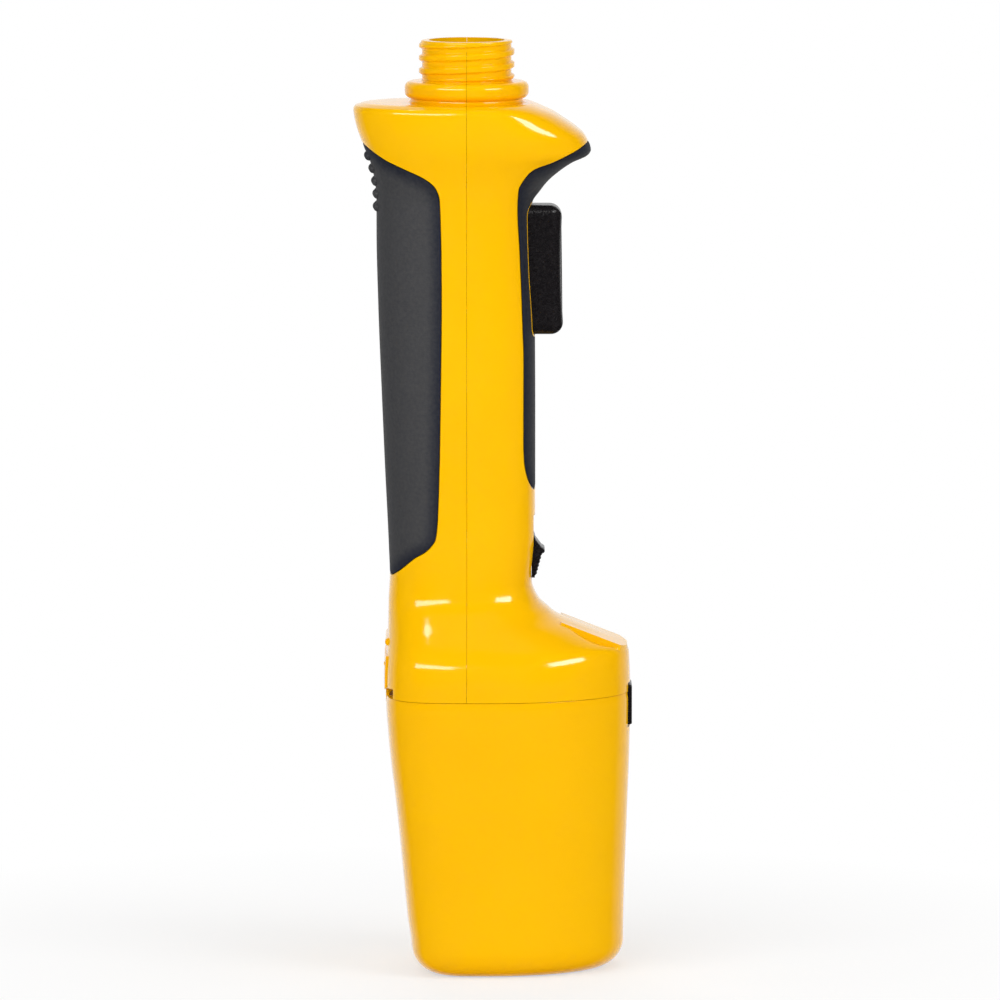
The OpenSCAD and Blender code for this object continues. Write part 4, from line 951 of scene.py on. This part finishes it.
def add_thumb_nubs(body):
    """Adds round nubs down the back of the guard to an opened mesh."""
    for row in range(NUB_ROWS):
        for column in range(NUB_COLUMNS):
            z = Z_GUARD + NUB_TOP_SHARE * GUARD_H - row * NUB_STEP
            y = (column - (NUB_COLUMNS - 1) / 2) * NUB_COLUMN_STEP
            spot = Vector((back_x(z, y) + NUB_SINK_SHARE * NUB_R, y, z)) * MM
            made = bmesh.ops.create_icosphere(body, subdivisions=NUB_FINENESS, radius=NUB_R * MM)
            bmesh.ops.translate(body, verts=made["verts"], vec=spot)


def palm_grip():
    """Palm rubber with its thumb nubs."""
    piece = outside(crop(pillowed_skin("palm_rubber", palm_edge), palm_zone()))
    with editing(piece.data) as body:
        add_thumb_nubs(body)
    mark_edge(piece, palm_edge)
    place(shade(piece, SHARP_SOFT), "handle", "palm_grip", "grip_rubber")


def finger_grip():
    """Finger rubber under the guard and down the front of the grip."""
    piece = outside(crop(pillowed_skin("finger_rubber", finger_edge), finger_zone()))
    mark_edge(piece, finger_edge)
    place(shade(piece, SHARP_SOFT), "handle", "finger_grip", "grip_rubber")


# Trigger, slider and latch

TRIGGER_DISH = 0.55
TRIGGER_LEAN = 0.2
TRIGGER_FACE_R = 3.6
TRIGGER_ALONG = 24
TRIGGER_SLIT = 0.02
TRIGGER_LIP_T = 2.0
TRIGGER_POCKET_R = 5.0
TRIGGER_POST_R = 2.9
TRIGGER_POCKET_DEPTH = 11.0
TRIGGER_ROOT = 2.0


def trigger():
    """Trigger paddle with a round front edge and a shallow hollow down its face."""
    face, back = trigger_high[0], trigger_low[0]

    def ring(inset, depth):
        outline = rounded_outline(trigger_half_w - inset, trigger_half_h - inset,
                                  max(TRIGGER_CORNER - inset, TRIGGER_SLIT / 2), along=TRIGGER_ALONG)
        share = outline[:, 1] / trigger_half_h
        hollow = TRIGGER_DISH * (1 - share ** 2) + TRIGGER_LEAN * share
        x = np.where(depth > face - back - TRIGGER_ROOT / 2, back, face - hollow - depth)
        return np.column_stack([x, outline[:, 0], outline[:, 1] + trigger_mid])

    rings = [ring(0, face - back)]
    rings += [ring(0, d) for d in np.linspace(face - back - TRIGGER_ROOT, TRIGGER_FACE_R, TRIGGER_STEPS)]
    for a in np.linspace(0, math.pi / 2, TRIGGER_STEPS)[1:]:
        rings.append(ring(TRIGGER_FACE_R * (1 - math.cos(a)), TRIGGER_FACE_R * (1 - math.sin(a))))
    for inset in np.linspace(TRIGGER_FACE_R, trigger_half_w - TRIGGER_SLIT, TRIGGER_FACE_STEPS)[1:]:
        rings.append(ring(inset, 0))
    piece = from_rings("trigger_paddle", np.array(rings))
    join(piece, box("lip", (back, back + TRIGGER_LIP_T), trigger_half_w + TRIGGER_LIP,
                    (trigger_low[2], trigger_high[2])))
    pocket = prism("pocket", circle(0, trigger_mid, TRIGGER_POCKET_R),
                   back - OVERRUN, back + TRIGGER_POCKET_DEPTH, axis="x")
    post = prism("post", circle(0, trigger_mid, TRIGGER_POST_R), back - 2 * OVERRUN, face, axis="x")
    cut(piece, cut(pocket, post))
    place(shade(piece, SHARP_SOFT), "trigger", "trigger", "black_plastic")


SLIDER_PEAK = 3.6
SLIDER_PLATE_T = 0.9
SLIDER_STAND = 0.1
SLIDER_EDGE = 0.12
SLIDER_EDGE_STEPS = 2
SLIDER_STEM_HALF = 1.5
SLIDER_STEM_H = 4.5
SLIDER_TRAVEL = 5.0
SLIDER_RIDGE_SHARES = [(0.03, 0.12), (0.56, 0.74), (0.575, 0.9), (0.6, 0.98), (0.625, 1), (0.655, 0.95),
                       (0.68, 0.8), (0.7, 0.66), (0.88, 0.06)]
SLIDER_TEETH = 6
SLIDER_TOOTH_D = 0.42
SLIDER_TOOTH_SHARE = 0.75
SLIDER_TIP_T = 0.6
slider_low, slider_high = node_box("safety_slider")
slider_h = slider_high[2] - slider_low[2]
slider_half_w = (slider_high[1] - slider_low[1]) / 2
slider_back = slider_high[0] - SLIDER_PEAK
slider_stem_foot = slider_low[2] + (slider_h - SLIDER_STEM_H) / 2


def slider_track():
    """Flat track for the slider, and the slot for its stem."""
    far = GUARD["front"]
    plate = box("track", (slider_back - SLIDER_STAND, far), slider_half_w + FIT,
                (slider_low[2] - FIT, slider_high[2] + SLIDER_TRAVEL + FIT))
    slot = box("stem_slot", (0, far), SLIDER_STEM_HALF + FIT,
               (slider_stem_foot - FIT, slider_stem_foot + SLIDER_STEM_H + SLIDER_TRAVEL + FIT))
    return [plate, slot]


def slider_outline():
    """Side outline of the slider's ridge, with its teeth, as (x, z) points."""
    ridge = [(slider_back + SLIDER_PLATE_T + v * (SLIDER_PEAK - SLIDER_PLATE_T), slider_low[2] + s * slider_h)
             for s, v in SLIDER_RIDGE_SHARES]
    foot, peak = np.array(ridge[0]), np.array(ridge[1])
    along = unit(peak - foot)
    inward = np.array([-along[1], along[0]])
    points = [(slider_back, slider_low[2]), (slider_back + SLIDER_PLATE_T, slider_low[2])]
    step = (peak - foot) / SLIDER_TEETH
    for tooth in range(SLIDER_TEETH):
        start = foot + tooth * step
        points += [start + inward * SLIDER_TOOTH_D, start + SLIDER_TOOTH_SHARE * step, start + step]
    points += ridge[2:]
    points += [(slider_back + SLIDER_TIP_T, slider_high[2]), (slider_back, slider_high[2])]
    return points


def safety_slider():
    """Serrated slider with its plate and stem."""
    piece = prism("slider", slider_outline(), -slider_half_w, slider_half_w)
    bevel(piece, SLIDER_EDGE, SLIDER_EDGE_STEPS)
    stem = box("stem", (slider_low[0], slider_back + SLIDER_PLATE_T / 2), SLIDER_STEM_HALF,
               (slider_stem_foot, slider_stem_foot + SLIDER_STEM_H))
    join(piece, stem)
    place(shade(piece, SHARP_SLIDER), "safety", "safety_slider", "black_plastic")


LATCH_T = 2.4
LATCH_HUB_R = 1.7
LATCH_EDGE = 0.5
LATCH_EDGE_STEPS = 4
LATCH_TOOTH_H = 1.4
LATCH_TOOTH_OUT = 0.2
LATCH_TOOTH_SIDE = 0.4
LATCH_TOOTH_DROP = 0.5
LATCH_GROOVES = 4
LATCH_GROOVE_R = 0.35
LATCH_GROOVE_OUT = 0.15
LATCH_GROOVE_SIDE = 1.0
LATCH_GROOVE_FOOT = 1.2
LATCH_GROOVE_STEP = 1.0
latch_low, latch_high = node_box("latch")
latch_half_w = (latch_high[1] - latch_low[1]) / 2
latch_pin_x, latch_pin_z, latch_pin_r = pin_of("latch_pin")
latch_pin_end = node_box("latch_pin")[1][1]
latch_back = latch_high[0] - LATCH_T


def latch_keep():
    """Pocket in the casing for the latch's upper end."""
    return box("keep", (latch_back - FIT, 2 * CASE["front"]), latch_half_w + FIT,
               (SEAM - OVERRUN, latch_high[2] + 2 * FIT))


def latch():
    """Rocking latch with round edges and finger ridges on its lower half."""
    face, low, high = latch_high[0], latch_low[2], latch_high[2]
    piece = box("latch_plate", (latch_back, face), latch_half_w, (low, high))
    bevel(piece, LATCH_EDGE, LATCH_EDGE_STEPS)
    hub = bar("hub", latch_pin_x, latch_pin_z, LATCH_HUB_R, latch_half_w)
    web = box("web", (latch_pin_x, latch_back + LATCH_T / 2), latch_half_w,
              (latch_pin_z - LATCH_HUB_R, latch_pin_z + LATCH_HUB_R))
    tooth = box("tooth", (latch_back - LATCH_TOOTH_OUT, latch_back + OVERRUN),
                latch_half_w - LATCH_TOOTH_SIDE, (high - LATCH_TOOTH_H, high - LATCH_TOOTH_DROP))
    join(piece, hub, web, tooth)
    cut(piece, bar("pin_hole", latch_pin_x, latch_pin_z, latch_pin_r + PIN_FIT, latch_half_w + OVERRUN))
    for groove in range(LATCH_GROOVES):
        z = low + LATCH_GROOVE_FOOT + groove * LATCH_GROOVE_STEP
        cut(piece, bar("groove", face + LATCH_GROOVE_OUT, z, LATCH_GROOVE_R,
                       latch_half_w - LATCH_GROOVE_SIDE))
    place(shade(piece, SHARP_LATCH), "latch", "latch", "black_plastic")


# Battery case

CASE_LIP_H = 1.4
CASE_LIP_IN = 0.16
CASE_LIP_SLOPE = 0.25
LATCH_PIN_FIT = 0.08
LATCH_PIN_END = 0.1
LATCH_CHEEK = 2.7
LATCH_BLOCK_BACK = 2.2
LATCH_BLOCK_DROP = 2.4
LATCH_BLOCK_SKIRT = 3.0
LATCH_SWING = 0.4


def foot_in(z, radius):
    """How far the round edge of a foot draws in at a height above its start."""
    z = np.minimum(z, radius)
    return radius - np.sqrt(radius ** 2 - (radius - z) ** 2)


def case_rings(inset, foot, radius, top):
    """Rings of the battery case's skin from its foot up."""
    turn = np.linspace(0, math.pi / 2, FOOT_STEPS)
    levels = np.concatenate([foot + radius * (1 - np.cos(turn)), rows(foot + radius + ROW_STEP, top)])
    return levels, skin_rings(levels, inset, foot_in(levels - foot, radius))


def battery_case():
    """Battery case with a round foot, a fine lip at the seam, its knuckle and the latch's pocket."""
    levels, rings = case_rings(0, 0, FOOT_R, SEAM - SEAM_GAP)
    lip = np.clip((levels - SEAM + CASE_LIP_H) / CASE_LIP_SLOPE, 0, 1) * CASE_LIP_IN
    rings[..., :2] -= lip[:, None, None] * unit(rings[..., :2] - (CASE_WIDE, 0))
    piece = from_rings("battery_box", rings)
    cut(piece, from_rings("room", case_rings(CASE_WALL, CASE_FLOOR, FOOT_R - CASE_WALL, SEAM + OVERRUN)[1]))
    block_x = latch_pin_x - LATCH_HUB_R - FIT - LATCH_BLOCK_BACK
    cheek = latch_half_w + FIT + LATCH_CHEEK
    block = box("block", (block_x, 2 * CASE["front"]), cheek,
                (latch_low[2] - LATCH_BLOCK_SKIRT, SEAM - LATCH_BLOCK_DROP))
    join(piece, crop(block, from_rings("inner", case_rings(CASE_WALL / 2, 0, FOOT_R, SEAM)[1])))
    join(piece, hinge_bar("knuckle", KNUCKLE_R, HINGE_MIDDLE_HALF),
         box("web", (hinge_x - KNUCKLE_R, hinge_x + KNUCKLE_R), HINGE_MIDDLE_HALF,
             (hinge_z - 2 * KNUCKLE_R, hinge_z)))
    cut(piece, hinge_hole())
    half = (HINGE_HALF - HINGE_MIDDLE_HALF + FIT) / 2
    for middle in hinge_sides:
        cut(piece, hinge_bar("notch", KNUCKLE_R + HINGE_RELIEF, half, middle))
    cut(piece, box("pocket", (block_x + LATCH_BLOCK_BACK, 2 * CASE["front"]), latch_half_w + FIT,
                   (latch_low[2] - FIT - LATCH_SWING, 2 * SEAM)))
    cut(piece, bar("pin_room", latch_pin_x, latch_pin_z, latch_pin_r + LATCH_PIN_FIT,
                   latch_pin_end + LATCH_PIN_END))
    place(shade(piece), "case", "battery_case", "yellow_plastic")


# Stage

PHOTO_WIDTH = 275.0
CAMERA_RANGE = 2600.0
CAMERA_PITCH = 6.6
CAMERA_AIM = (9.1, 0.0, 129.0)
SENSOR_WIDTH = 36.0
VIEW_END = 100.0
LAMP_AIM = (0.01, 0.0, 0.13)
LAMP_RANGE = 1.8
WORLD_LIGHT = 0.15
MIRROR_SPAN = (0.45, 1.0)
MIRROR_LIGHT = (0.02, 1.0)
FLOOR = {"half": 30.0, "dark": (0.93, 0.93, 0.93), "light": (0.95, 0.95, 0.95), "speck": 0.02, "rough": 0.9,
         "fade_from": (0.05, 0.22), "fade": (0.6, 1.0)}

# Name, azimuth and elevation in degrees, width and height in metres, power in watts, seen in the gloss or not
LAMPS = [
    ("strip_left", -32, 28, (1.6, 0.4), 15, True),
    ("strip_right", 54, 28, (0.9, 0.4), 12, True),
    ("spot_left", -60, 66, (0.2, 0.3), 1.6, True),
    ("fill_front", 0, 15, (1.4, 1.4), 2.6, False),
    ("fill_side_left", -80, 10, (1.2, 1.2), 2.5, False),
    ("fill_side_right", 80, 10, (1.2, 1.2), 2.5, False),
    ("top", 0, 80, (1.2, 1.2), 6, False),
    ("fill_back", 180, 25, (1.4, 1.4), 14, False),
]


def light_path_mix(tree, seen, lit, *rays):
    """Shader shown to the given kinds of ray, and another one to the rest."""
    path = add_node(tree, "LightPath")
    total = path.outputs[rays[0]]
    for ray in rays[1:]:
        total = worked_out(tree, "MAXIMUM", total, path.outputs[ray])
    return mixed(tree, total, lit, seen)


def surround():
    """White surround: plain white to the camera, dim as light, and for reflections brightest behind."""
    world = bpy.data.worlds.new("surround")
    bpy.context.scene.world = world
    world.use_nodes = True
    tree = world.node_tree
    lit = tree.nodes["Background"]
    set_inputs(lit, Color=WHITE, Strength=WORLD_LIGHT)
    parts = add_node(tree, "SeparateXYZ", Vector=add_node(tree, "TexCoord").outputs["Generated"])
    behind = spread(tree, parts.outputs["Y"], MIRROR_LIGHT, MIRROR_SPAN)
    mirrored = add_node(tree, "Background", Color=WHITE, Strength=behind)
    seen = add_node(tree, "Background", Color=WHITE)
    inner = light_path_mix(tree, mirrored.outputs[0], lit.outputs[0], "Is Glossy Ray")
    outer = light_path_mix(tree, seen.outputs[0], inner, "Is Camera Ray", "Is Transmission Ray")
    set_inputs(tree.nodes["World Output"], Surface=outer)


def floor():
    """Wide white floor that keeps the handle's shadow and fades to plain white."""
    half = FLOOR["half"] / MM
    piece = new_piece("floor", [(-half, -half, 0), (half, -half, 0), (half, half, 0), (-half, half, 0)],
                      [(0, 1, 2, 3)])
    material, tree, shader, where = new_material("floor_white")
    specks = noise(tree, where, FLOOR["speck"])
    set_inputs(shader, Base_Color=ramp(tree, specks, FLOOR["dark"], FLOOR["light"]),
               Roughness=FLOOR["rough"], Specular_IOR_Level=0.0)
    away = add_node(tree, "VectorMath")
    away.operation = "LENGTH"
    feed(away, 0, where)
    fade = spread(tree, away.outputs["Value"], FLOOR["fade"], FLOOR["fade_from"])
    glow = add_node(tree, "Emission", Color=WHITE)
    shown = mixed(tree, fade, shader.outputs[0], glow.outputs[0])
    set_inputs(tree.nodes["Material Output"],
               Surface=light_path_mix(tree, shown, shader.outputs[0], "Is Camera Ray"))
    piece.data.materials.append(material)
    piece.visible_glossy = False


def aim_from(thing, aim, distance, azimuth, elevation):
    """Puts a lamp or the camera round its aim, at an azimuth to the right of the photo's view, in degrees."""
    a, e = math.radians(azimuth), math.radians(elevation)
    out = Vector((math.sin(a) * math.cos(e), -math.cos(a) * math.cos(e), math.sin(e)))
    thing.location = aim + distance * out
    thing.rotation_euler = (aim - thing.location).to_track_quat("-Z", "Y").to_euler()


def lights():
    """Soft lamps aimed at the handle: strips that show as streaks on the gloss, and unseen fills."""
    for name, azimuth, elevation, size, power, glossy in LAMPS:
        light = bpy.data.lights.new(name, "AREA")
        light.shape = "RECTANGLE"
        light.size, light.size_y = size
        light.energy = power
        lamp = new_object(name, light)
        aim_from(lamp, Vector(LAMP_AIM), LAMP_RANGE, azimuth, elevation)
        lamp.visible_glossy = glossy
        lamp.visible_camera = False


def camera():
    """Camera at the photo's height and distance."""
    data = bpy.data.cameras.new("camera")
    data.sensor_width = SENSOR_WIDTH
    data.lens = SENSOR_WIDTH * CAMERA_RANGE / PHOTO_WIDTH
    data.clip_end = VIEW_END
    thing = new_object("camera", data)
    aim_from(thing, Vector(CAMERA_AIM) * MM, CAMERA_RANGE * MM, 0, CAMERA_PITCH)
    bpy.context.scene.camera = thing


def dress_nodes():
    """Gives every CAD node the material of its slot."""
    for part in frame["record"]["subparts"]:
        node = frame["nodes"][part["node"]]
        node.data.materials.clear()
        node.data.materials.append(finishes[part["material_slot"]])


def build():
    """Dresses the frame and sets the stage."""
    dress_nodes()
    whole = casing()
    front_shell(whole)
    back_shell(whole)
    bpy.data.objects.remove(whole)
    palm_grip()
    finger_grip()
    trigger()
    safety_slider()
    latch()
    springs()
    battery_case()
    surround()
    floor()
    lights()
    camera()
    bpy.context.scene.view_settings.view_transform = "Standard"


build()
